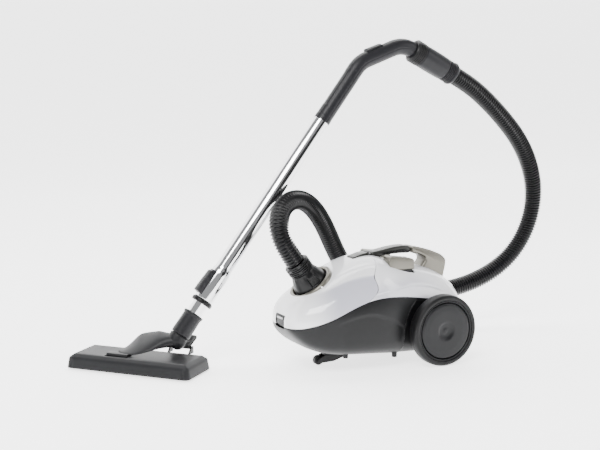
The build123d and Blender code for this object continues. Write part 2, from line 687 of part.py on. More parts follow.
with BuildPart() as bent_handle:
    with BuildLine():
        FilletPolyline(WAND_TOP, CORNER_1, CORNER_2, HANDLE_END, radius=HANDLE_RADII)
    with BuildSketch(WAND.offset(OUTER_END)):
        Circle(HANDLE_R)
        Circle(HANDLE_BORE, mode=Mode.SUBTRACT)
    sweep()
    add(tube(WAND, OUTER_BORE - RUN, HANDLE_BORE, OUTER_END - HANDLE_SPIGOT, OUTER_END + 1).part)
save(bent_handle, "bent_handle")

with BuildPart() as suction_slider:
    with BuildSketch(ON_RUN.offset(VENT_SLIDER[0])):
        with Locations((HANDLE_R + 2.5, 0)):
            Rectangle(9, VENT_SLIDER[2])
        Circle(HANDLE_R + GAP, mode=Mode.SUBTRACT)
    extrude(amount=VENT_SLIDER[1])
save(suction_slider, "suction_slider")

swivel_ribs = [[(COLLAR_R - 1, q), (COLLAR_R, q), (COLLAR_R, q + 1.5), (COLLAR_R - 1, q + 1.5)]
               for q in range(-4, 16, 4)]
swivel_collar = turned(BARREL, [(HANDLE_R + RUN, COLLAR_START), (22, COLLAR_START),
                                (COLLAR_R - 1, -3), (COLLAR_R - 1, BARREL_START),
                                (HANDLE_R + RUN, BARREL_START)], *swivel_ribs)
save(swivel_collar, "swivel_collar")
hose_end_barrel = turned(BARREL, [(HOSE_BORE, BARREL_START), (BARREL_R, BARREL_START),
                                  (BARREL_R, 92), (22.5, 94), (22.5, 99), (BARREL_R, 101),
                                  (BARREL_R, BARREL_END), (HOSE_BORE, BARREL_END)])
save(hose_end_barrel, "hose_end_barrel")


# ---- hose ----------------------------------------------------------------------------------------
def arc_radii(points):
    """0.45 of the shorter run beside each corner, over the tangent of half the turn there."""
    radii = []
    for before, corner, after in zip(points, points[1:], points[2:]):
        first = corner - before
        second = after - corner
        half_turn = math.radians(first.get_angle(second)) / 2
        radii.append(0.45 * min(first.length, second.length) / math.tan(half_turn))
    return radii


def hose_length(edges):
    """Length of a hose's centre line."""
    return sum(edge.length for edge in edges)


HOSE_START = INLET_PLANE.origin + INLET_PLANE.z_dir * SLEEVE_END
HOSE_FINISH = BARREL.origin + BARREL_DIR * BARREL_END
HOSE_OUT = HOSE_START + INLET_PLANE.z_dir * HOSE_LEAD
HOSE_IN = HOSE_FINISH + BARREL_DIR * HOSE_TAIL
front_route = [HOSE_START, HOSE_OUT] + [Vector(*place(*p)) for p in HOSE_FRONT + [HOSE_JOIN]]
rear_route = [Vector(*place(*p)) for p in [HOSE_JOIN] + HOSE_REAR] + [HOSE_IN, HOSE_FINISH]
for route, name in ((front_route, "hose_front"), (rear_route, "hose_rear")):
    corner_radii = arc_radii(route)
    with BuildPart() as hose:
        with BuildLine() as path:
            FilletPolyline(*route, radius=corner_radii)
        with BuildSketch(Plane(origin=route[0], z_dir=route[1] - route[0])):
            Circle(HOSE_R)
            Circle(HOSE_BORE, mode=Mode.SUBTRACT)
        sweep()
    save(hose, name)
    length = hose_length(path.edges())
    wall_area = math.pi * (HOSE_R ** 2 - HOSE_BORE ** 2)
    print(name, "radii", [round(r) for r in corner_radii], "length", round(length),
          "volume ratio", round(hose.part.volume / (wall_area * length), 4))

# ---- floor head ----------------------------------------------------------------------------------
HEAD_U = Vector(math.cos(HEAD_YAW), math.sin(HEAD_YAW), 0)
HEAD_V = Vector(-math.sin(HEAD_YAW), math.cos(HEAD_YAW), 0)
HEAD_FLOOR = Plane(origin=place(HEAD[0], HEAD[1], 0), x_dir=HEAD_U, z_dir=(0, 0, 1))


def head_block(u, v, z):
    """A box between pairs of limits, in the head's own directions."""
    with BuildPart() as solid:
        with BuildSketch(HEAD_FLOOR.offset(z[0])):
            with Locations(((u[0] + u[1]) / 2, (v[0] + v[1]) / 2)):
                Rectangle(u[1] - u[0], v[1] - v[0])
        extrude(amount=z[1] - z[0])
    return solid


def along_head(u, v, z):
    """Plane with its normal along the head, at a point: local (v, z)."""
    spot = HEAD_FLOOR.origin + HEAD_U * u + HEAD_V * v + Vector(0, 0, z)
    return Plane(origin=spot, x_dir=HEAD_V, z_dir=HEAD_U)


PEDAL_LUGS = (PEDAL_U - FOOT_PEDAL[0] / 2 - 3.4, PEDAL_U + FOOT_PEDAL[0] / 2 + GAP)
with BuildPart() as head_shell:
    with BuildSketch(HEAD_FLOOR.offset(HEAD_FOOT)):
        with Locations((0, HEAD_MIDDLE)):
            RectangleRounded(HEAD_LENGTH, HEAD_WIDTH, HEAD_CORNER)
    extrude(amount=HEAD_TOP - HEAD_FOOT, taper=HEAD_TAPER)
    fillet(head_shell.faces().sort_by(Axis.Z)[-1].edges(), 2)
    with BuildSketch(HEAD_FLOOR.offset(HEAD_FOOT)):
        with Locations((0, HEAD_MIDDLE)):
            Rectangle(HEAD_LENGTH - 2 * HEAD_WALL, HEAD_WIDTH - 2 * HEAD_WALL)
    extrude(amount=CAVITY_TOP - HEAD_FOOT, mode=Mode.SUBTRACT)
    add(head_block((TILT_SPAN[0] - GAP, TILT_SPAN[1] + GAP), (-43, -5), (CAVITY_TOP - 1, 40)).part,
        mode=Mode.SUBTRACT)
    with BuildSketch(along_head(TILT_SPAN[0] - 5, TILT_V, TILT_Z)):
        Circle(TILT_PIN_R)
    extrude(amount=TILT_SPAN[1] - TILT_SPAN[0] + 10, mode=Mode.SUBTRACT)
    for low in PEDAL_LUGS:
        add(head_block((low, low + 3), (45, PEDAL_V + 3.5), (26, PEDAL_Z + 3.5)).part)
    with BuildSketch(along_head(PEDAL_LUGS[0], PEDAL_V, PEDAL_Z)):
        Circle(PEDAL_PIN_R + RUN)
    extrude(amount=PEDAL_LUGS[1] - PEDAL_LUGS[0] + 3, mode=Mode.SUBTRACT)
save(head_shell, "head_shell")

save(tube(along_head(TILT_SPAN[0] - 5, TILT_V, TILT_Z), TILT_PIN_R, 0, 0,
          TILT_SPAN[1] - TILT_SPAN[0] + 10), "neck_pivot_pin")

TONGUE_FROM = (-31.0, -6.0)
TONGUE_TO = (52.0, 30.0)
reach = HEAD_U * (TONGUE_TO[0] - TONGUE_FROM[0]) + HEAD_V * (TONGUE_TO[1] - TONGUE_FROM[1])
tongue_start = HEAD_FLOOR.origin + HEAD_U * TONGUE_FROM[0] + HEAD_V * TONGUE_FROM[1]
TONGUE = Plane(origin=tongue_start, x_dir=(0, 0, 1), z_dir=reach)
with BuildPart() as neck_elbow:
    with BuildSketch(TONGUE):
        with Locations((TONGUE_BOTTOM + 3, 0)):
            RectangleRounded(6, 50, 2)
    with BuildSketch(TONGUE.offset(reach.length)):
        with Locations((TONGUE_BOTTOM + 16, 0)):
            RectangleRounded(24, 34, 8)
    loft()
    with BuildSketch(WAND.offset(KNUCKLE_END)):
        Circle(KNUCKLE_R)
    extrude(amount=-KNUCKLE_END)
    add(head_block((TILT_SPAN[0], TILT_SPAN[1]), (TILT_V - 5, TILT_V + 11), (TILT_Z + 6, 36)).part)
    with BuildSketch(along_head(TILT_SPAN[0], TILT_V, TILT_Z)):
        Circle(TILT_R)
    extrude(amount=TILT_SPAN[1] - TILT_SPAN[0])
    with BuildSketch(along_head(TILT_SPAN[0], TILT_V, TILT_Z)):
        Circle(TILT_PIN_R + RUN)
    extrude(amount=TILT_SPAN[1] - TILT_SPAN[0], mode=Mode.SUBTRACT)
    with BuildSketch(WAND.offset(SPIGOT_END - GAP)):
        Circle(SPIGOT_R + RUN)
    extrude(amount=GAP - SPIGOT_END, mode=Mode.SUBTRACT)
save(neck_elbow, "neck_elbow")

CAVITY_U = HEAD_LENGTH / 2 - HEAD_WALL - GAP
CAVITY_V = HEAD_WIDTH / 2 - HEAD_WALL - GAP
with BuildPart() as sole_plate:
    add(head_block((-CAVITY_U, CAVITY_U), (HEAD_MIDDLE - CAVITY_V, HEAD_MIDDLE + CAVITY_V),
                   (3, 6)).part)
    with BuildSketch(HEAD_FLOOR):
        with Locations((0, -3)):
            Rectangle(190, 16)
        for v in STRIP_SPOTS:
            with Locations((0, v)):
                Rectangle(STRIP_LENGTH + 2 * GAP, STRIP_WIDTH + 2 * GAP)
        with Locations(*ROLLER_SPOTS):
            Rectangle(12, 16)
    extrude(amount=10, mode=Mode.SUBTRACT)
    for u, v in ROLLER_SPOTS:
        add(tube(along_head(u, v, ROLLER_R), ROLLER_PIN_R, 0, -7.5, 7.5).part)
        for low in (-8.5, 6):
            add(head_block((u + low, u + low + 2.5), (v - 3, v + 3), (4, 9)).part)
save(sole_plate, "sole_plate")

with BuildPart() as lint_strips:
    with BuildSketch(HEAD_FLOOR):
        for v in LINT_SPOTS:
            with Locations((0, v)):
                Rectangle(196, 9)
    extrude(amount=3)
save(lint_strips, "lint_strips")

with BuildPart() as brush_strips:
    for v in STRIP_SPOTS:
        add(head_block((-STRIP_LENGTH / 2, STRIP_LENGTH / 2),
                       (v - STRIP_WIDTH / 2, v + STRIP_WIDTH / 2), (0.5, 9.5)).part)
    for u in (-75, 75):
        add(head_block((u - 4, u + 4), STRIP_SPOTS, (7.5, 9.5)).part)
save(brush_strips, "brush_strips")

with BuildPart() as head_rollers:
    for u, v in ROLLER_SPOTS:
        add(tube(along_head(u, v, ROLLER_R), ROLLER_R, ROLLER_PIN_R + RUN, -4.5, 4.5).part)
save(head_rollers, "head_rollers")

slope = math.radians(FOOT_PEDAL_SLOPE)
PEDAL_DIR = HEAD_V * math.cos(slope) + Vector(0, 0, math.sin(slope))
hinge_spot = HEAD_FLOOR.origin + HEAD_U * PEDAL_U + HEAD_V * PEDAL_V + Vector(0, 0, PEDAL_Z)
PEDAL_PLANE = Plane(origin=hinge_spot, x_dir=HEAD_U, z_dir=HEAD_U.cross(PEDAL_DIR))
with BuildPart() as head_pedal:
    with BuildSketch(PEDAL_PLANE.offset(2.2)):
        with Locations((0, FOOT_PEDAL[1] / 2 - 1)):
            RectangleRounded(FOOT_PEDAL[0], FOOT_PEDAL[1] + 2, 5)
    extrude(amount=FOOT_PEDAL[2])
    with BuildSketch(along_head(PEDAL_U - FOOT_PEDAL[0] / 2, PEDAL_V, PEDAL_Z)):
        Circle(3.2)
    extrude(amount=FOOT_PEDAL[0])
    with BuildSketch(along_head(PEDAL_LUGS[0], PEDAL_V, PEDAL_Z)):
        Circle(PEDAL_PIN_R)
    extrude(amount=PEDAL_LUGS[1] - PEDAL_LUGS[0] + 3)
save(head_pedal, "head_pedal")
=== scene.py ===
"""Looks of a canister vacuum cleaner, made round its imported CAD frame.

Lengths are millimetres in the canister's own datum (its mid-plane is y = 0 and the floor is z = 0)
until `place` turns them into metres in the shared frame.
"""
import json
import logging
import math
from dataclasses import dataclass
from enum import Enum
from typing import Callable, Optional, Sequence

import bmesh
import bpy
import numpy as np
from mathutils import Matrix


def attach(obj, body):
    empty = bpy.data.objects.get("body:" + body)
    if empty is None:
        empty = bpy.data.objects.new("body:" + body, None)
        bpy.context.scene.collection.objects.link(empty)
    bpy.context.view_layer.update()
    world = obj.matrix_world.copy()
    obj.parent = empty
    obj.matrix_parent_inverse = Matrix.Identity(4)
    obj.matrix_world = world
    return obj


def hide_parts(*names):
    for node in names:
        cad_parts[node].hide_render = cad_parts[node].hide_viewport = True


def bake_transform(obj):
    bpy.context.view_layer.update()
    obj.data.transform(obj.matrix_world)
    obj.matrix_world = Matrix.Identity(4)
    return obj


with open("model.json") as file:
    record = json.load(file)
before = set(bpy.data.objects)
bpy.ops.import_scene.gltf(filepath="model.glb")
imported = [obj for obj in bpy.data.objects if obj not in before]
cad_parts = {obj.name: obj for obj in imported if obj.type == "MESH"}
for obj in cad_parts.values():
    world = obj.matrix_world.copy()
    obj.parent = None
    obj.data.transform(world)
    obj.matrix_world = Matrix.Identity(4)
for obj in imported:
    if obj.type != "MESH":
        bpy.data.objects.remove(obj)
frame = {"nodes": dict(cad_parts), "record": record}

LOG = logging.getLogger("vacuum_cleaner")
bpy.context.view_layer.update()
MM = 0.001
DATUM = np.array([-6.7, -63.0, 0.0])  # the canister's datum, from the shared frame's origin
Array = np.ndarray


# ---- geometry helpers ----------------------------------------------------------------------------
def place(points: Array) -> Array:
    """Turn datum millimetres into metres in the shared frame: add the datum, then scale.

    Args:
        points: array whose last axis is x, y, z.

    Returns:
        The same array in metres.
    """
    return (np.asarray(points, float) + DATUM) * MM


def unit(vector: Sequence[float]) -> Array:
    """A vector divided by its length."""
    v = np.asarray(vector, float)
    return v / np.linalg.norm(v)


def step(low: float, high: float, value: Array) -> Array:
    """Smooth step 3t^2 - 2t^3, where t is how far value is from low to high, kept in 0..1."""
    t = np.clip((np.asarray(value, float) - low) / (high - low), 0, 1)
    return t * t * (3 - 2 * t)


@dataclass(frozen=True)
class Axes:
    """A local frame: origin, x direction and z direction in the datum; y is z cross x."""

    origin: tuple[float, float, float]
    x: tuple[float, float, float]
    z: tuple[float, float, float]

    def at(self, a: Array, b: Array, c: Array) -> Array:
        """Points at origin + a x + b y + c z, in metres.

        Args:
            a: distances along x.
            b: distances along y.
            c: distances along z.

        Returns:
            An array with a last axis of three.
        """
        a, b, c = np.broadcast_arrays(*(np.asarray(k, float) for k in (a, b, c)))
        spots = (np.array(self.origin) + a[..., None] * unit(self.x) + b[..., None] * self.y
                 + c[..., None] * unit(self.z))
        return place(spots)

    @property
    def y(self) -> Array:
        """The third direction, z cross x."""
        return np.cross(unit(self.z), unit(self.x))

    def spot(self, a: float, b: float, c: float) -> tuple[float, float, float]:
        """One point at origin + a x + b y + c z, in datum millimetres."""
        return tuple(np.array(self.origin) + a * unit(self.x) + b * self.y + c * unit(self.z))


def rounded(outline: Sequence[Sequence[float]], radius: float, steps: int = 5) -> Array:
    """Round a closed outline: each corner becomes the parabola (1-t)^2 A + 2t(1-t) P + t^2 C,
    where A and C stand `radius` before and after corner P, or 0.45 of a shorter side.

    Args:
        outline: corner points, in order.
        radius: reach of the rounding along each side.
        steps: points on each corner.

    Returns:
        The rounded outline, one point a row.
    """
    p = np.asarray(outline, float)
    back = np.roll(p, 1, 0) - p
    ahead = np.roll(p, -1, 0) - p
    back_run = np.linalg.norm(back, axis=1, keepdims=True)
    ahead_run = np.linalg.norm(ahead, axis=1, keepdims=True)
    reach = np.minimum(radius, 0.45 * np.minimum(back_run, ahead_run))
    a = (p + back / back_run * reach)[:, None]
    c = (p + ahead / ahead_run * reach)[:, None]
    t = np.linspace(0, 1, steps)[None, :, None]
    return ((1 - t) ** 2 * a + 2 * t * (1 - t) * p[:, None] + t ** 2 * c).reshape(-1, p.shape[1])


def travel(line: Array) -> Array:
    """Distance along a line of points, from its first point to each of them."""
    return np.concatenate([[0], np.cumsum(np.linalg.norm(np.diff(line, axis=0), axis=1))])


def sampled(line: Array, run: Array, at: Array) -> Array:
    """Points of a line at given distances along it, straight between its points.

    Args:
        line: points in order.
        run: distance of each point along the line.
        at: the wanted distances.

    Returns:
        One point for each wanted distance.
    """
    return np.stack([np.interp(at, run, line[:, k]) for k in range(line.shape[1])], -1)


def even(outline: Array, spacing: float, count: int = 0) -> Array:
    """A closed outline resampled at equal distances along itself.

    Args:
        outline: points in order.
        spacing: wanted distance between points.
        count: wanted number of points instead, if not 0.

    Returns:
        The evenly spaced outline.
    """
    loop = np.concatenate([outline, outline[:1]])
    run = travel(loop)
    wanted = count or max(int(run[-1] / spacing), 12)
    return sampled(loop, run, np.linspace(0, run[-1], wanted, endpoint=False))


def even_open(line: Array, spacing: float) -> Array:
    """An open line resampled at equal distances along itself."""
    run = travel(line)
    return sampled(line, run, np.linspace(0, run[-1], max(int(run[-1] / spacing), 6)))


def inward(outline: Array, amount: float) -> Array:
    """A closed outline moved inwards: each point goes `amount` along the normal of the line
    through its two neighbours, on the side that the outline's signed area says is inside.

    Args:
        outline: points in order.
        amount: how far they move.

    Returns:
        The moved outline.
    """
    run = np.roll(outline, -1, 0) - np.roll(outline, 1, 0)
    normal = np.stack([-run[:, 1], run[:, 0]], -1)
    normal /= np.maximum(np.linalg.norm(normal, axis=1, keepdims=True), 1e-9)
    ahead = np.roll(outline, -1, 0)
    area = np.sum(outline[:, 0] * ahead[:, 1] - ahead[:, 0] * outline[:, 1])
    return outline + math.copysign(amount, area) * normal


def spline(knots: Sequence[float], values: Sequence[float], at: Array) -> Array:
    """Natural cubic spline: second derivatives solve the usual three-term system, zero at the ends.

    Args:
        knots: increasing positions.
        values: the value at each knot.
        at: where to evaluate it; outside the knots the end piece goes on.

    Returns:
        The spline's values.
    """
    x = np.asarray(knots, float)
    y = np.asarray(values, float)
    h = np.diff(x)
    size = len(x)
    system = np.eye(size)
    right = np.zeros(size)
    inner = np.arange(1, size - 1)
    system[inner, inner - 1] = h[:-1]
    system[inner, inner] = 2 * (h[:-1] + h[1:])
    system[inner, inner + 1] = h[1:]
    right[inner] = 6 * (np.diff(y)[1:] / h[1:] - np.diff(y)[:-1] / h[:-1])
    bend = np.linalg.solve(system, right)
    at = np.asarray(at, float)
    k = np.clip(np.searchsorted(x, at) - 1, 0, size - 2)
    a = (x[k + 1] - at) / h[k]
    b = 1 - a
    curve = ((a ** 3 - a) * bend[k] + (b ** 3 - b) * bend[k + 1]) * h[k] ** 2 / 6
    return a * y[k] + b * y[k + 1] + curve


def skin(name: str, rows: Array, ring_rows: bool = False, ring_columns: bool = False,
         caps: bool = False, solid: bool = True) -> bpy.types.Object:
    """Mesh over a grid of points: one quad between each four neighbours.

    Args:
        name: the object's name.
        rows: points, shape (rows, columns, 3), in metres.
        ring_rows: the last row joins the first.
        ring_columns: the last column joins the first.
        caps: close the first and the last row with one face each.
        solid: the result is closed, so its normals are turned outwards.

    Returns:
        The new object, linked to the scene, with smooth faces.
    """
    count, width = rows.shape[:2]
    index = np.arange(count * width).reshape(count, width)
    grid = np.concatenate([index, index[:1]]) if ring_rows else index
    grid = np.concatenate([grid, grid[:, :1]], 1) if ring_columns else grid
    quads = np.stack([grid[:-1, :-1], grid[1:, :-1], grid[1:, 1:], grid[:-1, 1:]], -1).reshape(-1, 4)
    corners = quads.ravel()
    starts = np.arange(0, corners.size, 4)
    if caps:
        starts = np.concatenate([starts, [corners.size, corners.size + width]])
        corners = np.concatenate([corners, index[0], index[-1][::-1]])
    mesh = bpy.data.meshes.new(name)
    mesh.vertices.add(count * width)
    mesh.vertices.foreach_set("co", rows.astype(np.float32).ravel())
    mesh.loops.add(len(corners))
    mesh.loops.foreach_set("vertex_index", corners)
    mesh.polygons.add(len(starts))
    mesh.polygons.foreach_set("loop_start", starts)
    mesh.update(calc_edges=True)
    work = bmesh.new()
    work.from_mesh(mesh)
    bmesh.ops.remove_doubles(work, verts=work.verts, dist=2e-6)
    bmesh.ops.dissolve_degenerate(work, edges=work.edges, dist=1e-6)
    if solid:
        bmesh.ops.recalc_face_normals(work, faces=work.faces)
    work.to_mesh(mesh)
    work.free()
    return shown(name, mesh)


def shown(name: str, mesh: bpy.types.Mesh, sharp: float = 38.0) -> bpy.types.Object:
    """Link a mesh as an object, smooth, with edges sharper than an angle kept crisp.

    Args:
        name: the object's name.
        mesh: its mesh.
        sharp: smallest angle of a crisp edge, in degrees.

    Returns:
        The new object.
    """
    mesh.shade_smooth()
    mesh.set_sharp_from_angle(angle=math.radians(sharp))
    piece = bpy.data.objects.new(name, mesh)
    bpy.context.scene.collection.objects.link(piece)
    return piece


def settled(piece: bpy.types.Object) -> bpy.types.Object:
    """Apply a piece's modifiers, so that its mesh is the finished shape.

    Args:
        piece: the piece, with its modifiers.

    Returns:
        The same piece, with none left.
    """
    graph = bpy.context.evaluated_depsgraph_get()
    mesh = bpy.data.meshes.new_from_object(piece.evaluated_get(graph))
    piece.modifiers.clear()
    piece.data = mesh
    return piece


def joined(name: str, pieces: Sequence[bpy.types.Object]) -> bpy.types.Object:
    """One object that holds the meshes of several, in order.

    Args:
        name: the new object's name.
        pieces: the objects to join, which are deleted.

    Returns:
        The new object.
    """
    work = bmesh.new()
    for piece in pieces:
        work.from_mesh(piece.data)
        bpy.data.objects.remove(piece)
    mesh = bpy.data.meshes.new(name)
    work.to_mesh(mesh)
    work.free()
    return shown(name, mesh)


def cut(piece: bpy.types.Object, tools: Sequence[bpy.types.Object],
        crossing: bool = False) -> bpy.types.Object:
    """Take closed tool shapes away from a closed piece, and delete the tools.

    Args:
        piece: the piece to cut.
        tools: closed shapes that don't touch each other.
        crossing: the piece may cross itself, which needs the slower solver.

    Returns:
        The piece, with its mesh applied.
    """
    tool = joined("tool", tools)
    change = piece.modifiers.new("cut", "BOOLEAN")
    change.operation = "DIFFERENCE"
    change.solver = "EXACT"
    change.use_self = crossing
    change.object = tool
    settled(piece)
    bpy.data.objects.remove(tool)
    return piece


def softened(piece: bpy.types.Object, width: float, angle: float) -> bpy.types.Object:
    """Bevel the edges that are sharper than an angle, and apply it.

    Args:
        piece: the piece to soften.
        width: width of the bevel, in mm.
        angle: smallest angle that counts as an edge, in degrees.

    Returns:
        The piece, with its mesh applied.
    """
    soft = piece.modifiers.new("edges", "BEVEL")
    soft.width = width * MM
    soft.segments = 2
    soft.limit_method = "ANGLE"
    soft.angle_limit = math.radians(angle)
    return settled(piece)


def lathe(name: str, axes: Axes, profile: Array, relief: Optional[Callable] = None,
          open_ends: bool = False, turns: int = 72) -> bpy.types.Object:
    """Surface of revolution: (r, d) goes to r cos a along x, r sin a along y and d along z.

    Args:
        name: the object's name.
        axes: frame whose z direction is the axis.
        profile: rows of (radius, distance).
        relief: function of radius, distance and angle that gives the radius to use instead.
        open_ends: the profile starts and ends on the axis instead of closing on itself.
        turns: steps round the axis.

    Returns:
        The new object.
    """
    angle = np.linspace(0, 2 * math.pi, turns, endpoint=False)[None, :]
    radius = np.repeat(profile[:, :1], turns, 1)
    along = np.repeat(profile[:, 1:2], turns, 1)
    if relief is not None:
        radius = relief(radius, along, angle)
    rows = axes.at(radius * np.cos(angle), radius * np.sin(angle), along)
    return skin(name, rows, ring_rows=not open_ends, ring_columns=True)


def slab(name: str, axes: Axes, outline: Array, low: float, high: float, edge: float,
         spacing: float = 1.5, crown: float = 0.0) -> bpy.types.Object:
    """Plate with round edges: the outline (x, y) stands from low to high along z. Near both faces
    it moves inwards by edge (1 - cos a) while its height goes by edge (1 - sin a).

    Args:
        name: the object's name.
        axes: frame whose z direction is the plate's thickness.
        outline: closed outline in x and y.
        low: height of the first face.
        high: height of the second face.
        edge: radius of the edges.
        spacing: distance between outline points.
        crown: how far the second face's middle stands above its rim.

    Returns:
        The new object.
    """
    loop = even(outline, spacing)
    turn = np.linspace(0, math.pi / 2, 5)
    inset = edge * (1 - np.sin(turn))
    lift = edge * (1 - np.cos(turn))
    rows = [axes.at(*inward(loop, d).T, low + z) for d, z in zip(inset, lift)]
    rows += [axes.at(*inward(loop, d).T, high - z) for d, z in zip(inset[::-1], lift[::-1])]
    if crown:
        middle = loop.mean(0)
        for share in (0.66, 0.33):
            inner = middle + (inward(loop, edge) - middle) * share
            rows.append(axes.at(*inner.T, high + crown * (1 - share ** 2)))
    return skin(name, np.stack(rows), ring_columns=True, caps=True)


def saddle(name: str, axes: Axes, inner: float, outer: Callable, start: float, end: float,
           half_angle: float, middle: float = 0.0, rows: int = 40) -> bpy.types.Object:
    """Cover that lies round a tube: a section runs out over outer(d, a) and back along `inner`.

    Args:
        name: the object's name.
        axes: frame whose z direction is the tube's axis.
        inner: radius of the underside.
        outer: function of distance and angle from the middle that gives the top's radius.
        start: first distance.
        end: last distance.
        half_angle: half of the angle covered, in radians.
        middle: the angle of its middle, from x.
        rows: steps along the axis.

    Returns:
        The new object.
    """
    along = np.linspace(start, end, rows)[:, None]
    sweep = np.linspace(-half_angle, half_angle, 29)[None, :]
    top = outer(along, sweep) * np.ones((rows, 1))
    under = np.full_like(top, inner)
    radius = np.concatenate([top, under[:, ::-1]], 1)
    angle = middle + np.concatenate([sweep, sweep[:, ::-1]], 1)
    grid = axes.at(radius * np.cos(angle), radius * np.sin(angle), along)
    return skin(name, grid, ring_columns=True, caps=True)


# ---- finishes ------------------------------------------------------------------------------------
@dataclass(frozen=True)
class Finish:
    """A surface finish: a colour that wanders a little, a roughness that does too, and a grain."""

    name: str
    colour: tuple[float, float, float]
    rough: float
    metal: float = 0.0
    coat: float = 0.0
    wander: float = 0.06  # share by which the colour wanders
    rough_wander: float = 0.05
    blotch: float = 18.0  # patches a metre
    grain: float = 900.0  # grains a metre
    relief: float = 0.12  # bump strength
    depth: float = 0.00015
    stretch: tuple[float, float, float] = (1.0, 1.0, 1.0)
    # painted shade: this colour stands in for shade on the shells' lower panels
    tint: tuple[float, float, float] = (0.0, 0.0, 0.0)  # colour where the mesh's "panel" is 1
    tinted: bool = False
    sheen: float = 0.0
    specular: float = 0.22
    glow: float = 0.0

    def material(self) -> bpy.types.Material:
        """Build the finish's node tree.

        Returns:
            The new material, whose patterns read Object coordinates.
        """
        material = bpy.data.materials.new(f"finish_{self.name}")
        material.use_nodes = True
        nodes = material.node_tree.nodes
        link = material.node_tree.links.new
        shader = nodes["Principled BSDF"]
        shader.inputs["Metallic"].default_value = self.metal
        shader.inputs["Coat Weight"].default_value = self.coat
        shader.inputs["Coat Roughness"].default_value = 0.06
        shader.inputs["Sheen Weight"].default_value = self.sheen
        shader.inputs["Specular IOR Level"].default_value = self.specular
        shader.inputs["Emission Color"].default_value = (1, 1, 1, 1)
        shader.inputs["Emission Strength"].default_value = self.glow
        where = nodes.new("ShaderNodeTexCoord")
        mapping = nodes.new("ShaderNodeMapping")
        mapping.inputs["Scale"].default_value = self.stretch
        link(where.outputs["Object"], mapping.inputs["Vector"])
        patches = self._noise(nodes, link, mapping, self.blotch, 4)
        fine = self._noise(nodes, link, mapping, self.grain, 2)
        mix = nodes.new("ShaderNodeMix")
        mix.data_type = "RGBA"
        mix.inputs[6].default_value = (*(c * (1 - self.wander) for c in self.colour), 1)
        mix.inputs[7].default_value = (*(min(c * (1 + self.wander), 1) for c in self.colour), 1)
        link(patches.outputs["Fac"], mix.inputs[0])
        colour = mix.outputs[2]
        # Painted shade: the colour goes towards the shade colour as the mesh's "panel" share goes to 1.
        if self.tinted:
            panel = nodes.new("ShaderNodeAttribute")
            panel.attribute_name = "panel"
            over = nodes.new("ShaderNodeMix")
            over.data_type = "RGBA"
            over.inputs[7].default_value = (*self.tint, 1)
            link(panel.outputs["Fac"], over.inputs[0])
            link(colour, over.inputs[6])
            colour = over.outputs[2]
        link(colour, shader.inputs["Base Color"])
        spread = nodes.new("ShaderNodeMapRange")
        spread.inputs["To Min"].default_value = max(self.rough - self.rough_wander, 0.01)
        spread.inputs["To Max"].default_value = self.rough + self.rough_wander
        link(patches.outputs["Fac"], spread.inputs["Value"])
        link(spread.outputs["Result"], shader.inputs["Roughness"])
        bump = nodes.new("ShaderNodeBump")
        bump.inputs["Strength"].default_value = self.relief
        bump.inputs["Distance"].default_value = self.depth
        link(fine.outputs["Fac"], bump.inputs["Height"])
        link(bump.outputs["Normal"], shader.inputs["Normal"])
        return material

    @staticmethod
    def _noise(nodes: bpy.types.Nodes, link: Callable, mapping: bpy.types.Node, scale: float,
               detail: float) -> bpy.types.Node:
        """A noise texture on the mapped coordinates.

        Args:
            nodes: the material's nodes.
            link: the function that links two sockets.
            mapping: the node that gives the coordinates.
            scale: patches a metre.
            detail: octaves of finer noise.

        Returns:
            The noise node.
        """
        noise = nodes.new("ShaderNodeTexNoise")
        noise.inputs["Scale"].default_value = scale
        noise.inputs["Detail"].default_value = detail
        link(mapping.outputs["Vector"], noise.inputs["Vector"])
        return noise


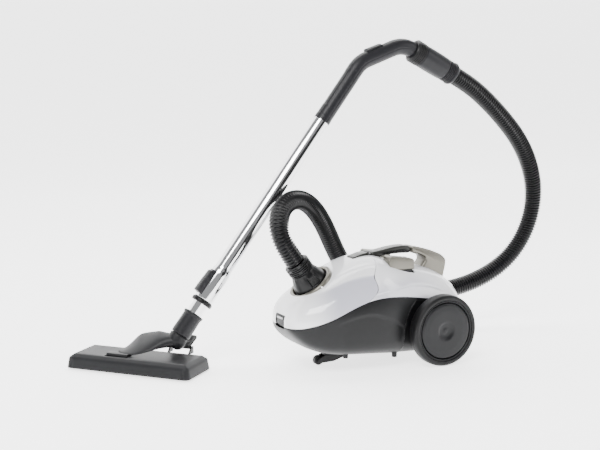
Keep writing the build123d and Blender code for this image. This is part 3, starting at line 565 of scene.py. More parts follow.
class Look(Enum):
    """The cleaner's finishes, each named after the record's slot that it belongs to."""

    # WHITE and CHARCOAL carry painted shade: a cool grey over the white shells' lower panels, and a
    # darker charcoal below the base's crease and in its wheel arch.
    WHITE = Finish("white_shell", (0.84, 0.84, 0.855), 0.13, coat=0.6, wander=0.012,
                   rough_wander=0.03, grain=260, relief=0.02,
                   tint=(0.33, 0.33, 0.41), tinted=True,
                   specular=0.5)
    CHARCOAL = Finish("charcoal_shell", (0.0062, 0.0064, 0.0070), 0.38, wander=0.12,
                      relief=0.2, tint=(0.0034, 0.0035, 0.0040), tinted=True)
    CHAMPAGNE = Finish("champagne", (0.150, 0.142, 0.120), 0.33, metal=0.7, coat=0.2,
                       wander=0.05, grain=2200, relief=0.05)
    GRIP = Finish("grip_black", (0.008, 0.008, 0.008), 0.5, relief=0.3)
    STRAP = Finish("strap_grey", (0.030, 0.030, 0.028), 0.36, metal=0.3, coat=0.2,
                   relief=0.08)
    BLACK = Finish("black_plastic", (0.0036, 0.0036, 0.0040), 0.33, relief=0.15,
                   wander=0.15)
    HOSE = Finish("hose_black", (0.0036, 0.0036, 0.0041), 0.31, coat=0.1, relief=0.12,
                  wander=0.18, blotch=40)
    HANDLE = Finish("handle_black", (0.0095, 0.0095, 0.0112), 0.40, relief=0.22,
                    wander=0.12)
    HEAD = Finish("head_dark", (0.0098, 0.0101, 0.0112), 0.42, relief=0.3, wander=0.12,
                  grain=1400)
    CHROME = Finish("chrome_tube", (0.86, 0.86, 0.87), 0.05, metal=1.0, wander=0.02,
                    rough_wander=0.025, grain=500, relief=0.01)
    WHEEL = Finish("wheel_dark", (0.0066, 0.0068, 0.0077), 0.38, relief=0.22,
                   wander=0.12)
    TYRE = Finish("tyre_rubber", (0.0046, 0.0046, 0.0050), 0.46, relief=0.3,
                  wander=0.2)
    STEEL = Finish("steel", (0.45, 0.45, 0.46), 0.3, metal=1.0, stretch=(1, 14, 1))
    MOTOR = Finish("motor_metal", (0.55, 0.55, 0.56), 0.36, metal=1.0,
                   stretch=(9, 1, 1))
    INNER = Finish("inner_grey", (0.16, 0.16, 0.17), 0.5, relief=0.2)
    SEAL = Finish("seal_rubber", (0.03, 0.03, 0.03), 0.62, relief=0.3)
    PAPER = Finish("bag_paper", (0.56, 0.45, 0.31), 0.85, relief=0.5, wander=0.14,
                   grain=2600, sheen=0.15)
    FOAM = Finish("filter_foam", (0.50, 0.53, 0.58), 0.9, relief=0.9, grain=1500,
                  depth=0.0006)
    HAIR = Finish("brush_hair", (0.018, 0.018, 0.018), 0.6, wander=0.3,
                  stretch=(1, 1, 0.1))
    FELT = Finish("lint_felt", (0.20, 0.025, 0.022), 0.95, relief=0.8, grain=3000,
                  depth=0.0004, sheen=0.4)

    @property
    def slot(self) -> str:
        """The record's material slot."""
        return self.value.name

    @property
    def material(self) -> bpy.types.Material:
        """The finish's material, built the first time that it is asked for."""
        return bpy.data.materials.get(f"finish_{self.slot}") or self.value.material()


def dress(piece: bpy.types.Object, body: str, look: Look, *stands_for: str) -> bpy.types.Object:
    """Give a piece its finish, its body and the CAD nodes it stands for, and report it.

    Args:
        piece: the finished mesh object.
        body: the CAD body that it moves with, or "" to leave it on no body.
        look: its finish.
        stands_for: CAD nodes that it hides.

    Returns:
        The piece.
    """
    piece.data.materials.clear()
    piece.data.materials.append(look.material)
    if body:
        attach(piece, body)
    if stands_for:
        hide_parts(*stands_for)
    LOG.info("%s: %d faces", piece.name, len(piece.data.polygons))
    return piece


# ---- shared frames of the cleaner ----------------------------------------------------------------
RISE = math.radians(52.9)
FALL = math.radians(26.5)
YAW = math.radians(-47.7)
WAND_Y = 100.0
SIDE = Axes((0, 0, 0), (1, 0, 0), (0, -1, 0))  # side view: x forward, y up, z to the near side
INLET = Axes((24, 0, 167), (0.8, 0, 0.6), (-0.6, 0, 0.8))
WAND = Axes((-215.5, WAND_Y, 66), (-math.sin(RISE), 0, math.cos(RISE)),
            (math.cos(RISE), 0, math.sin(RISE)))
BARREL = Axes((320.5, WAND_Y, 624.7), (math.sin(FALL), 0, math.cos(FALL)),
              (math.cos(FALL), 0, -math.sin(FALL)))
HEAD = Axes((-297, 122, 0), (math.cos(YAW), math.sin(YAW), 0), (0, 0, 1))


# ---- camera, light and floor ---------------------------------------------------------------------
@dataclass
class Studio:
    """Pale floor, soft lights and the camera."""

    azimuth: float = -26.5
    elevation: float = 8.0
    distance: float = 2150.0
    lens: float = 66.0
    target: tuple[float, float, float] = (0.0, 0.0, 285.0)

    def camera(self) -> None:
        """Place the camera on a sphere round its target and face it inwards."""
        a = math.radians(self.azimuth)
        e = math.radians(self.elevation)
        back = np.array([math.sin(a) * math.cos(e), -math.cos(a) * math.cos(e), math.sin(e)])
        data = bpy.data.cameras.new("camera")
        data.lens = self.lens
        camera = bpy.data.objects.new("camera", data)
        bpy.context.scene.collection.objects.link(camera)
        camera.location = place(np.array(self.target) + back * self.distance)
        camera.rotation_euler = (math.radians(90) - e, 0, a)
        bpy.context.scene.camera = camera

    def light(self, name: str, spot: tuple[float, float, float], aim: tuple[float, float, float],
              size: tuple[float, float], power: float) -> None:
        """Add one rectangular light.

        Args:
            name: the light's name.
            spot: its place, in metres.
            aim: the point that it faces.
            size: its sides, in metres.
            power: in watts.
        """
        data = bpy.data.lights.new(name, "AREA")
        data.shape = "RECTANGLE"
        data.size, data.size_y = size
        data.energy = power
        lamp = bpy.data.objects.new(name, data)
        bpy.context.scene.collection.objects.link(lamp)
        lamp.location = spot
        way = unit(np.array(aim) - np.array(spot))
        lamp.rotation_euler = (math.acos(-way[2]), 0, math.atan2(way[1], way[0]) - math.pi / 2)

    def build(self) -> None:
        """Camera, lights, sky, and a floor that curves up behind: z = R (1 - cos a) on the bend."""
        self.camera()
        self.light("key", (-1.3, -1.4, 2.2), (0, 0, 0.2), (1.5, 1.1), 85)
        self.light("fill", (2.3, -1.7, 1.5), (0.1, 0, 0.2), (0.9, 1.8), 30)
        self.light("top", (0.3, 0.9, 2.4), (0, 0, 0.2), (2.4, 0.9), 50)
        card = slab("dark_card", Axes((800, -2250, 500), (0, 0, 1), (0, 1, 0)),
                    rounded([(-480, -850), (800, -850), (800, 850), (-480, 850)], 20), -5, 5, 2, 40)
        card.data.materials.append(Finish("card_black", (0.004, 0.004, 0.004), 0.9).material())
        card.visible_camera = False
        card.visible_shadow = False
        card.visible_diffuse = False
        world = bpy.data.worlds.new("studio")
        bpy.context.scene.world = world
        world.use_nodes = True
        world.node_tree.nodes["Background"].inputs["Color"].default_value = (0.97, 0.98, 1, 1)
        world.node_tree.nodes["Background"].inputs["Strength"].default_value = 0.42
        turn = np.linspace(0, math.pi / 2, 24)
        y = np.concatenate([[-40.0, -3.0], 3.0 + 2.5 * np.sin(turn), [5.5]])[None, :]
        z = np.concatenate([[0.0, 0.0], 2.5 * (1 - np.cos(turn)), [9.0]])[None, :]
        x = np.linspace(-40, 40, 5)[:, None]
        rows = np.stack(np.broadcast_arrays(x, y, z - 0.0005), -1)
        floor = skin("floor", rows, solid=False)
        finish = Finish("floor_white", (0.92, 0.92, 0.92), 0.7, wander=0.01, relief=0.0, glow=2.4)
        floor.data.materials.append(finish.material())


# ---- hose ----------------------------------------------------------------------------------------
@dataclass
class Hose:
    """One corrugated hose, in two meshes that meet behind the canister."""

    radius: float = 20.0
    pitch: float = 6.0
    depth: float = 3.2
    lead: float = 27.4
    tail: float = 51.0
    wall: float = 1.2
    samples: int = 7  # rings of points on each corrugation
    smoothing: int = 13  # rings over which the direction is averaged
    around: int = 40
    join: tuple[float, float, float] = (327, 158, 91)

    def routes(self) -> tuple[Array, Array]:
        """Control points of both halves, the same as the CAD hose's route."""
        inlet = np.array(INLET.origin) + 56 * unit(INLET.z)
        barrel = np.array(BARREL.origin) + 111 * unit(BARREL.z)
        front = [inlet, inlet + self.lead * unit(INLET.z), (-40, 6, 262), (-39, 17, 292),
                 (-22, 34, 317), (8, 52, 329), (41, 70, 325), (73, 88, 306), (101, 104, 277),
                 (125, 118, 243), (148, 131, 206), (174, 142, 169), (207, 151, 136),
                 (249, 156, 111), (299, 158, 95), self.join]
        rear = [self.join, (355, 158, 87), (410, 155, 86), (465, 150, 91), (520, 142, 105),
                (573, 133, 131), (615, 124, 169), (643, 116, 220), (655, 110, 276),
                (651, 106, 331), (631, 103, 385), (599, 101, 434), (558, 100, 477),
                (513, 100, 517), barrel + self.tail * unit(BARREL.z), barrel]
        return place(np.array([tuple(p) for p in front])), place(np.array([tuple(p) for p in rear]))

    def line(self, name: str, route: Array) -> Array:
        """Points of the smooth NURBS line through a route.

        Args:
            name: name for the scratch curve.
            route: control points in metres.

        Returns:
            Points along the line, in metres.
        """
        curve = bpy.data.curves.new(name, "CURVE")
        curve.dimensions = "3D"
        curve.resolution_u = 24
        run = curve.splines.new("NURBS")
        run.points.add(len(route) - 1)
        run.points.foreach_set("co", np.concatenate([route, np.ones((len(route), 1))], 1).ravel())
        run.order_u = 3
        run.use_endpoint_u = True
        holder = bpy.data.objects.new(name, curve)
        bpy.context.scene.collection.objects.link(holder)
        graph = bpy.context.evaluated_depsgraph_get()
        mesh = bpy.data.meshes.new_from_object(holder.evaluated_get(graph))
        points = np.empty(len(mesh.vertices) * 3, np.float32)
        mesh.vertices.foreach_get("co", points)
        bpy.data.objects.remove(holder)
        bpy.data.meshes.remove(mesh)
        return points.reshape(-1, 3).astype(float)

    def tube(self, name: str, line: Array, phase: float) -> tuple[bpy.types.Object, Array, float]:
        """Corrugated tube: at distance s the radius is R - depth (1 - c), where c is the fourth
        power of the cosine of half a turn a pitch, so crests are narrow and valleys are wide.

        Args:
            name: the object's name.
            line: the centre line, in metres.
            phase: distance already covered by the hose before this piece, in mm.

        Returns:
            The object, its centre points and its length in metres.
        """
        run = travel(line)
        length = run[-1]
        count = int(length / MM / self.pitch * self.samples) + 1
        at = np.linspace(0, length, count)
        centre = sampled(line, run, at)
        kernel = np.ones(self.smoothing) / self.smoothing
        smooth = np.stack([np.convolve(np.pad(np.gradient(centre[:, k], at), self.smoothing // 2,
                                              "edge"), kernel, "valid") for k in range(3)], -1)
        ahead = smooth / np.linalg.norm(smooth, axis=1, keepdims=True)
        across = np.array([0, 1.0, 0]) - ahead[:, 1:2] * ahead
        across /= np.linalg.norm(across, axis=1, keepdims=True)
        upward = np.cross(across, ahead)
        angle = np.linspace(0, 2 * math.pi, self.around, endpoint=False)
        turn = (at / MM + phase)[:, None] / self.pitch + angle[None, :] / (2 * math.pi)
        crest = np.cos(math.pi * turn) ** 4
        radius = (self.radius - self.depth * (1 - crest)) * MM
        ring = (np.cos(angle)[None, :, None] * across[:, None]
                + np.sin(angle)[None, :, None] * upward[:, None])
        outer = centre[:, None] + radius[..., None] * ring
        bore = (self.radius - self.depth - self.wall) * MM
        inner = (centre[:, None] + bore * ring)[::-1][:: self.samples]
        rows = np.concatenate([outer, inner])
        return skin(name, rows, ring_rows=True, ring_columns=True), centre, float(length)

    def build(self) -> None:
        """Make both halves, dress them and bake their placement into their meshes."""
        front_route, rear_route = self.routes()
        pieces = []
        phase = 0.0
        for name, route in (("hose_loop", front_route), ("hose_arch", rear_route)):
            piece, centre, length = self.tube(name, self.line(name + "_line", route), phase)
            phase += length / MM
            pieces.append((piece, centre, length))
        loop, loop_centre, loop_length = pieces[0]
        arch, arch_centre, arch_length = pieces[1]
        dress(loop, "", Look.HOSE, "hose_front")
        dress(arch, "", Look.HOSE, "hose_rear")
        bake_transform(loop)
        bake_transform(arch)
        LOG.info("hose: %.3f m and %.3f m", loop_length, arch_length)


# ---- canister shells -----------------------------------------------------------------------------
class Shell(Enum):
    """The three outer shells of the canister."""

    LID = "lid_shell"
    COVER = "cover_shell"
    BASE = "base_shell"


@dataclass
class Canister:
    """Shells of the canister: superellipse sections through stations, split by two seams."""

    wall: float = 2.6
    round_top: float = 2.5
    round_foot: float = 4.0
    gap: float = 0.5  # half of the visible gap between two shells
    seam_guess: float = 118.0  # where the seam is taken to be before it is solved for
    seam_passes: int = 14
    ladder: int = 160  # angles at which a section's length is measured
    cell: float = 5e-6  # points closer than this, in metres, are the same point
    # station x, half width, underside, widest z, top z
    stations: tuple = ((-42, 34, 84, 97, 112), (-34, 56, 71, 98, 128), (-14, 76, 52, 98, 147),
                       (20, 92, 37, 98, 169), (60, 101, 30, 98, 191), (100, 105, 27, 98, 208),
                       (150, 105, 23, 98, 216), (195, 98, 18, 98, 204), (240, 96, 16, 98, 193),
                       (290, 92, 16, 98, 179), (325, 78, 25, 96, 155), (340, 58, 45, 94, 130))
    parting: tuple = ((-60, 84), (-42, 89), (-7, 99), (25, 111), (54, 124), (98, 140), (131, 145),
                      (165, 144), (211, 138), (244, 133), (300, 125), (360, 117))
    seam: tuple = ((98, 140), (123, 162), (124, 188), (140, 206), (149, 222))
    lid_crease: tuple = ((-42, 112), (-24, 131), (-15, 143), (10, 158), (62, 179), (92, 187),
                         (119, 190), (150, 190))
    cover_crease: tuple = ((95, 142), (107, 149), (152, 158), (198, 162), (239, 160), (277, 147),
                           (300, 134))
    base_crease: tuple = ((20, 92), (36, 103), (59, 111), (82, 116), (103, 117), (130, 111),
                          (161, 97), (183, 84), (210, 70))
    wheel: tuple[float, float] = (261.0, 72.0)
    screws: tuple = ((70, 60, 33.5), (70, -60, 33.5), (176, 70, 26), (176, -70, 26))

    def __post_init__(self) -> None:
        """Table of section sizes along the body: each size is a natural spline of the distance
        run through the stations."""
        knots = np.array(self.stations, float)
        run = travel(knots)
        fine = np.linspace(0, run[-1], 4000)
        self.table = np.stack([spline(run, knots[:, k], fine) for k in range(5)], -1)

    def sizes(self, x: Array) -> list[Array]:
        """Half width, underside, widest height and top at x."""
        return [np.interp(x, self.table[:, 0], self.table[:, k]) for k in range(1, 5)]

    def parting_z(self, x: Array) -> Array:
        """Height of the line between the base and the white shells at x."""
        return spline(*zip(*self.parting), x)

    def seam_x(self, z: Array) -> Array:
        """Place of the seam between the lid and the cover at height z."""
        knots = [(z_, x_) for x_, z_ in self.seam]
        return spline(*zip(*knots), np.clip(z, knots[0][0] - 6, knots[-1][0]))

    def section(self, x: Array, share: Array, above: bool) -> tuple[Array, Array]:
        """Point of the section at x: share 0 is the near parting line and 1 the far one, by
        distance round the superellipse |y/a|^n + |z/b|^n = 1.

        Args:
            x: place along the body, one a point.
            share: share of the way round, the same shape.
            above: go over the top instead of under the foot.

        Returns:
            The y and z of each point.
        """
        half, foot, widest, top = self.sizes(x)
        line = self.parting_z(x) + (self.gap if above else -self.gap)
        up = np.clip((line - widest) / (top - widest), 0, 1) ** (self.round_top / 2)
        down = np.clip((widest - line) / (widest - foot), 0, 1) ** (self.round_foot / 2)
        start = np.arcsin(np.clip(up, 0, 0.999)) - np.arcsin(np.clip(down, 0, 0.999))
        end = np.pi / 2 if above else -np.pi / 2
        mirror = np.where(share <= 0.5, -1.0, 1.0)
        part = np.clip(1 - np.abs(2 * share - 1), 0, 1)
        rungs = np.linspace(0, 1, self.ladder)
        angle = start[..., None] + (end - start[..., None]) * rungs
        y, z = self.superellipse(angle, half[..., None], foot[..., None], widest[..., None],
                                 top[..., None])
        run = np.cumsum(np.hypot(np.diff(y, axis=-1), np.diff(z, axis=-1)), -1)
        run = np.concatenate([np.zeros_like(run[..., :1]), run], -1)
        flat = [k.reshape(-1, self.ladder) for k in (run / run[..., -1:], angle)]
        wanted = part.ravel()
        below = np.clip(np.sum(flat[0] <= wanted[:, None], 1) - 1, 0, self.ladder - 2)
        pick = np.arange(len(wanted))
        r0, r1 = flat[0][pick, below], flat[0][pick, below + 1]
        mix = (wanted - r0) / np.maximum(r1 - r0, 1e-12)
        a = (flat[1][pick, below] * (1 - mix) + flat[1][pick, below + 1] * mix).reshape(x.shape)
        y, z = self.superellipse(a, half, foot, widest, top)
        return mirror * np.abs(y), z

    def superellipse(self, angle: Array, half: Array, foot: Array, widest: Array,
                     top: Array) -> tuple[Array, Array]:
        """Superellipse point at an angle, with one power above the widest line and one below.

        Args:
            angle: the angle, in radians.
            half: half width.
            foot: height of the underside.
            widest: height of the widest line.
            top: height of the top.

        Returns:
            The y and z of each point, with y never negative.
        """
        c, s = np.cos(angle), np.sin(angle)
        power = np.where(s >= 0, 2 / self.round_top, 2 / self.round_foot)
        y = half * np.abs(c) ** power
        z = widest + np.where(s >= 0, top - widest, widest - foot) * np.sign(s) * np.abs(s) ** power
        return y, z

    def relief(self, shell: Shell, x: Array, z: Array) -> tuple[Array, Array]:
        """How far the side moves inwards, and how much painted shade shows on its lower panel.

        Below a shell's crease the side falls in quickly and comes back slowly to the parting
        line: depth times step(w) (1 - w), where w goes from 0 at the crease to 1 at the line.

        Args:
            shell: which shell.
            x: place along the body.
            z: height.

        Returns:
            The inward move in mm and the panel share, 0 to 1.
        """
        line = self.parting_z(x)
        if shell is Shell.LID:
            crease = spline(*zip(*self.lid_crease), x)
            w = np.clip((crease - z) / np.maximum(crease - line, 6), -0.2, 1)
            fade = step(-30, 30, x)
            deep = 3.6 * step(0, 0.16, w) * (1 - w) * fade
            # painted shade on the lid's lower panel, below its crease
            return deep, 0.75 * step(0.0, 0.10, w) * step(-20, 45, x)
        if shell is Shell.COVER:
            crease = spline(*zip(*self.cover_crease), x)
            w = np.clip((crease - z) / np.maximum(crease - line, 5), -1, 1)
            fade = step(96, 120, x) * (1 - step(262, 292, x))
            deep = 2.6 * step(0, 0.22, w) * (1 - w) * fade
            # painted shade from a little above the cover's crease downwards, and a faint shade over the
            # whole cover
            shade_band = step(-1.0, 0.0, (crease - z) / 26.0) * (1 - step(200, 290, x))
            return deep, 0.45 * shade_band * fade + 0.12 * fade
        crease = spline(*zip(*self.base_crease), x)
        fade = step(30, 52, x) * (1 - step(176, 188, x))
        deep = 1.8 * step(0, 5, crease - z) * fade * step(24, 50, z)
        radial = np.hypot(x - self.wheel[0], z - self.wheel[1])
        arch = np.maximum(1 - step(76.5, 78.5, radial), step(183, 185, x) * (1 - step(70, 74, z)))
        lip = step(2.0, 9.0, line - z)
        # painted shade below the base's crease and inside the wheel arch recess
        return deep + 4.5 * arch * lip, 0.5 * step(0, 4, crease - z) * fade + arch * lip

    def rows(self, shell: Shell, count: int, width: int) -> tuple[Array, Array]:
        """Grid of one shell, from nose to tail, closed towards the parting line at its ends.

        Args:
            shell: which shell.
            count: rows along the body.
            width: points round each section.

        Returns:
            The points in mm, shape (rows, columns, 3), and the painted shade share of each.
        """
        share = np.repeat(np.linspace(0, 1, width)[None], count, 0)
        pace = np.repeat(np.linspace(0, 1, count)[:, None], width, 1)
        low, high = float(self.stations[0][0]), float(self.stations[-1][0])
        x = low + (high - low) * (0.5 - 0.5 * np.cos(math.pi * pace))
        if shell is Shell.LID:
            x = low + (self.seam_guess - low) * pace ** 1.5
        if shell is Shell.COVER:
            x = self.seam_guess + (high - self.seam_guess) * pace
        y, z = self.section(x, share, shell is not Shell.BASE)
        for _ in range(0 if shell is Shell.BASE else self.seam_passes):
            edge = self.seam_x(z)
            if shell is Shell.LID:
                x = low + (edge - self.gap - low) * pace ** 1.5
            else:
                x = edge + self.gap + (high - edge - self.gap) * (1 - (1 - pace) ** 1.3)
            y, z = self.section(x, share, True)
        # the panel share is painted shade
        deep, panel = self.relief(shell, x, z)
        y = np.sign(y) * np.maximum(np.abs(y) - deep, 0)
        points = np.stack([x, y, z], -1)
        return self.ended(shell, points, panel)

    def ended(self, shell: Shell, points: Array, panel: Array) -> tuple[Array, Array]:
        """Close the nose and the tail: rows shrink by cos a towards the parting line's middle
        while they move out by a few millimetres times sin a.

        Args:
            shell: which shell.
            points: its grid, in mm.
            panel: the painted shade share of each point.

        Returns:
            The longer grid and its painted shade shares.
        """
        turn = np.linspace(0, math.pi / 2, 9)[1:]
        ends = []
        for row, way, use in ((points[0], -1, shell is not Shell.COVER),
                              (points[-1], 1, shell is not Shell.LID)):
            if not use:
                ends.append((np.zeros((0, *row.shape)), np.zeros((0, row.shape[0]))))
                continue
            centre = np.array([row[0, 0], 0, row[0, 2]])
            shrunk = [centre + (row - centre) * math.cos(a) + [way * 3.0 * math.sin(a), 0, 0]
                      for a in turn]
            ends.append((np.stack(shrunk), np.zeros((len(turn), row.shape[0]))))
        nose, tail = ends
        whole = np.concatenate([nose[0][::-1], points, tail[0]])
        return whole, np.concatenate([nose[1][::-1], panel, tail[1]])

    def shell(self, shell: Shell, count: int, width: int,
              tools: Sequence[bpy.types.Object]) -> bpy.types.Object:
        """One finished shell: its surface, a wall inwards, its holes and softened edges.

        Args:
            shell: which shell.
            count: rows along the body.
            width: points round each section.
            tools: closed shapes to cut away.

        Returns:
            The shell's object.
        """
        points, panel = self.rows(shell, count, width)
        flat = points.reshape(-1, 3)
        piece = skin(shell.value, place(points), solid=False)
        self.paint(piece, place(flat), panel.ravel())
        self.face_outwards(piece)
        wall = piece.modifiers.new("wall", "SOLIDIFY")
        wall.thickness = self.wall * MM
        wall.offset = -1
        settled(piece)
        cut(piece, tools, crossing=shell is Shell.BASE)
        softened(piece, 0.8, 55)
        piece.data.set_sharp_from_angle(angle=math.radians(48))
        return piece

    def paint(self, piece: bpy.types.Object, spots: Array, shares: Array) -> None:
        """Store the painted shade share on the mesh's points as the "panel" attribute, each from the
        grid point in its own cell.

        Args:
            piece: the shell's object.
            spots: the grid's points, in metres.
            shares: the painted shade share of each.
        """
        mesh = piece.data
        here = np.empty(len(mesh.vertices) * 3, np.float32)
        mesh.vertices.foreach_get("co", here)
        key = np.round(here.reshape(-1, 3) / self.cell).astype(np.int64)
        known = np.round(spots.astype(np.float32) / self.cell).astype(np.int64)
        order = np.lexsort(known.T)
        weights = np.array([1, 1 << 20, 1 << 40], dtype=np.int64)
        codes = known[order] @ weights
        rank = np.argsort(codes)
        found = np.clip(np.searchsorted(codes[rank], key @ weights), 0, len(codes) - 1)
        mesh.attributes.new("panel", "FLOAT", "POINT")
        mesh.attributes["panel"].data.foreach_set("value", shares[order][rank][found])

    @staticmethod
    def face_outwards(piece: bpy.types.Object) -> None:
        """Flip an open shell if most of its faces look at its own middle.

        Args:
            piece: the shell's object.
        """
        mesh = piece.data
        normals = np.empty(len(mesh.polygons) * 3, np.float32)
        centres = np.empty(len(mesh.polygons) * 3, np.float32)
        mesh.polygons.foreach_get("normal", normals)
        mesh.polygons.foreach_get("center", centres)
        middle = place(np.array([130, 0, 110]))
        away = centres.reshape(-1, 3) - middle
        if np.sum(normals.reshape(-1, 3) * away) < 0:
            mesh.flip_normals()

    @staticmethod
    def block(x: Sequence[float], y: Sequence[float], z: Sequence[float],
              edge: float = 2.0) -> bpy.types.Object:
        """A round-cornered box between pairs of limits, for cutting."""
        outline = rounded([(x[0], z[0]), (x[1], z[0]), (x[1], z[1]), (x[0], z[1])], edge)
        return slab("tool", SIDE, outline, -y[1], -y[0], 0.2, spacing=2.5)

    def latch_tool(self) -> bpy.types.Object:
        """Cutter for the latch's opening in the nose."""
        return self.block((-60, -35.5), (-19.5, 19.5), (84.5, 111.5))

    def build(self) -> None:
        """Make the three shells and the small pieces that belong to them."""
        hole = lathe("tool", INLET, np.array([(0, -45), (45, -45), (45, 45), (0, 45)], float),
                     open_ends=True)
        lid = self.shell(Shell.LID, 120, 150, [hole, self.latch_tool()])
        dress(lid, "lid", Look.WHITE, "dust_lid")
        wells = [self.block((168.2, 227.8), (side * 47 - 14.8, side * 47 + 14.8), (150, 240), 3)
                 for side in (-1, 1)]
        cover = self.shell(Shell.COVER, 120, 150, wells)
        dress(cover, "canister", Look.WHITE, "rear_cover")
        back = [self.latch_tool(), self.block((330, 350), (-23, 47), (60, 106), 3)]
        outlet = Axes((340, -38, 84), (0, 1, 0), (1, 0, 0))
        back.append(lathe("tool", outlet, np.array([(0, -12), (6, -12), (6, 12), (0, 12)], float),
                          open_ends=True))
        base = self.shell(Shell.BASE, 190, 150, back)
        dress(base, "canister", Look.CHARCOAL, "lower_housing")
        self.bosses()
        self.latch()

    def bosses(self) -> None:
        """Axle and caster bosses that the shell's wall doesn't show."""
        made = []
        for side in (-1, 1):
            hub = Axes((261, 0, 72), (1, 0, 0), (0, side, 0))
            profile = rounded([(5.2, 86), (16, 86), (13, 100), (5.2, 100)], 1)
            made.append(lathe("boss", hub, profile))
        foot = Axes((58, 0, 0), (1, 0, 0), (0, 0, 1))
        made.append(lathe("boss", foot, rounded([(4.2, 24), (10, 24), (10, 42), (4.2, 42)], 0.8)))
        for x, y, z in self.screws:
            post = rounded([(2.1, z - 6.4), (3.6, z - 6.4), (3.6, z - 9.4), (5, z - 9.4),
                            (6, z + 8), (2.1, z + 8)], 0.5)
            made.append(lathe("post", Axes((x, y, 0), (1, 0, 0), (0, 0, 1)), post, turns=32))
        dress(joined("housing_bosses", made), "canister", Look.CHARCOAL)

    def latch(self) -> None:
        """The nose latch: a dark tray, and a lever with a bright finger tab."""
        tray = rounded([(-36.2, 86.5), (-43.5, 86.5), (-44.5, 98), (-43.5, 110.5), (-36.2, 110.5)], 2)
        dish = slab("latch_tray", SIDE, tray, -18.9, 18.9, 1.0)
        pocket = rounded([(-39.5, 85), (-50, 85), (-50, 109.4), (-39.5, 109.4)], 2)
        cut(dish, [slab("tool", SIDE, pocket, -17.9, 17.9, 0.5)])
        dress(dish, "lid", Look.BLACK)
        lever = rounded([(-43.4, 91.4), (-40.6, 91), (-40.2, 95), (-40.6, 109), (-43.2, 109)], 0.9)
        dress(slab("latch_lever", SIDE, lever, -17.3, 17.3, 0.8, 0.5), "latch", Look.BLACK,
              "lid_latch")
        tab = rounded([(-45.0, 103), (-42.6, 102.4), (-42.6, 106.4), (-44.2, 106)], 0.7)
        dress(slab("latch_tab", SIDE, tab, -12, 12, 0.7, 0.4), "latch", Look.STEEL)


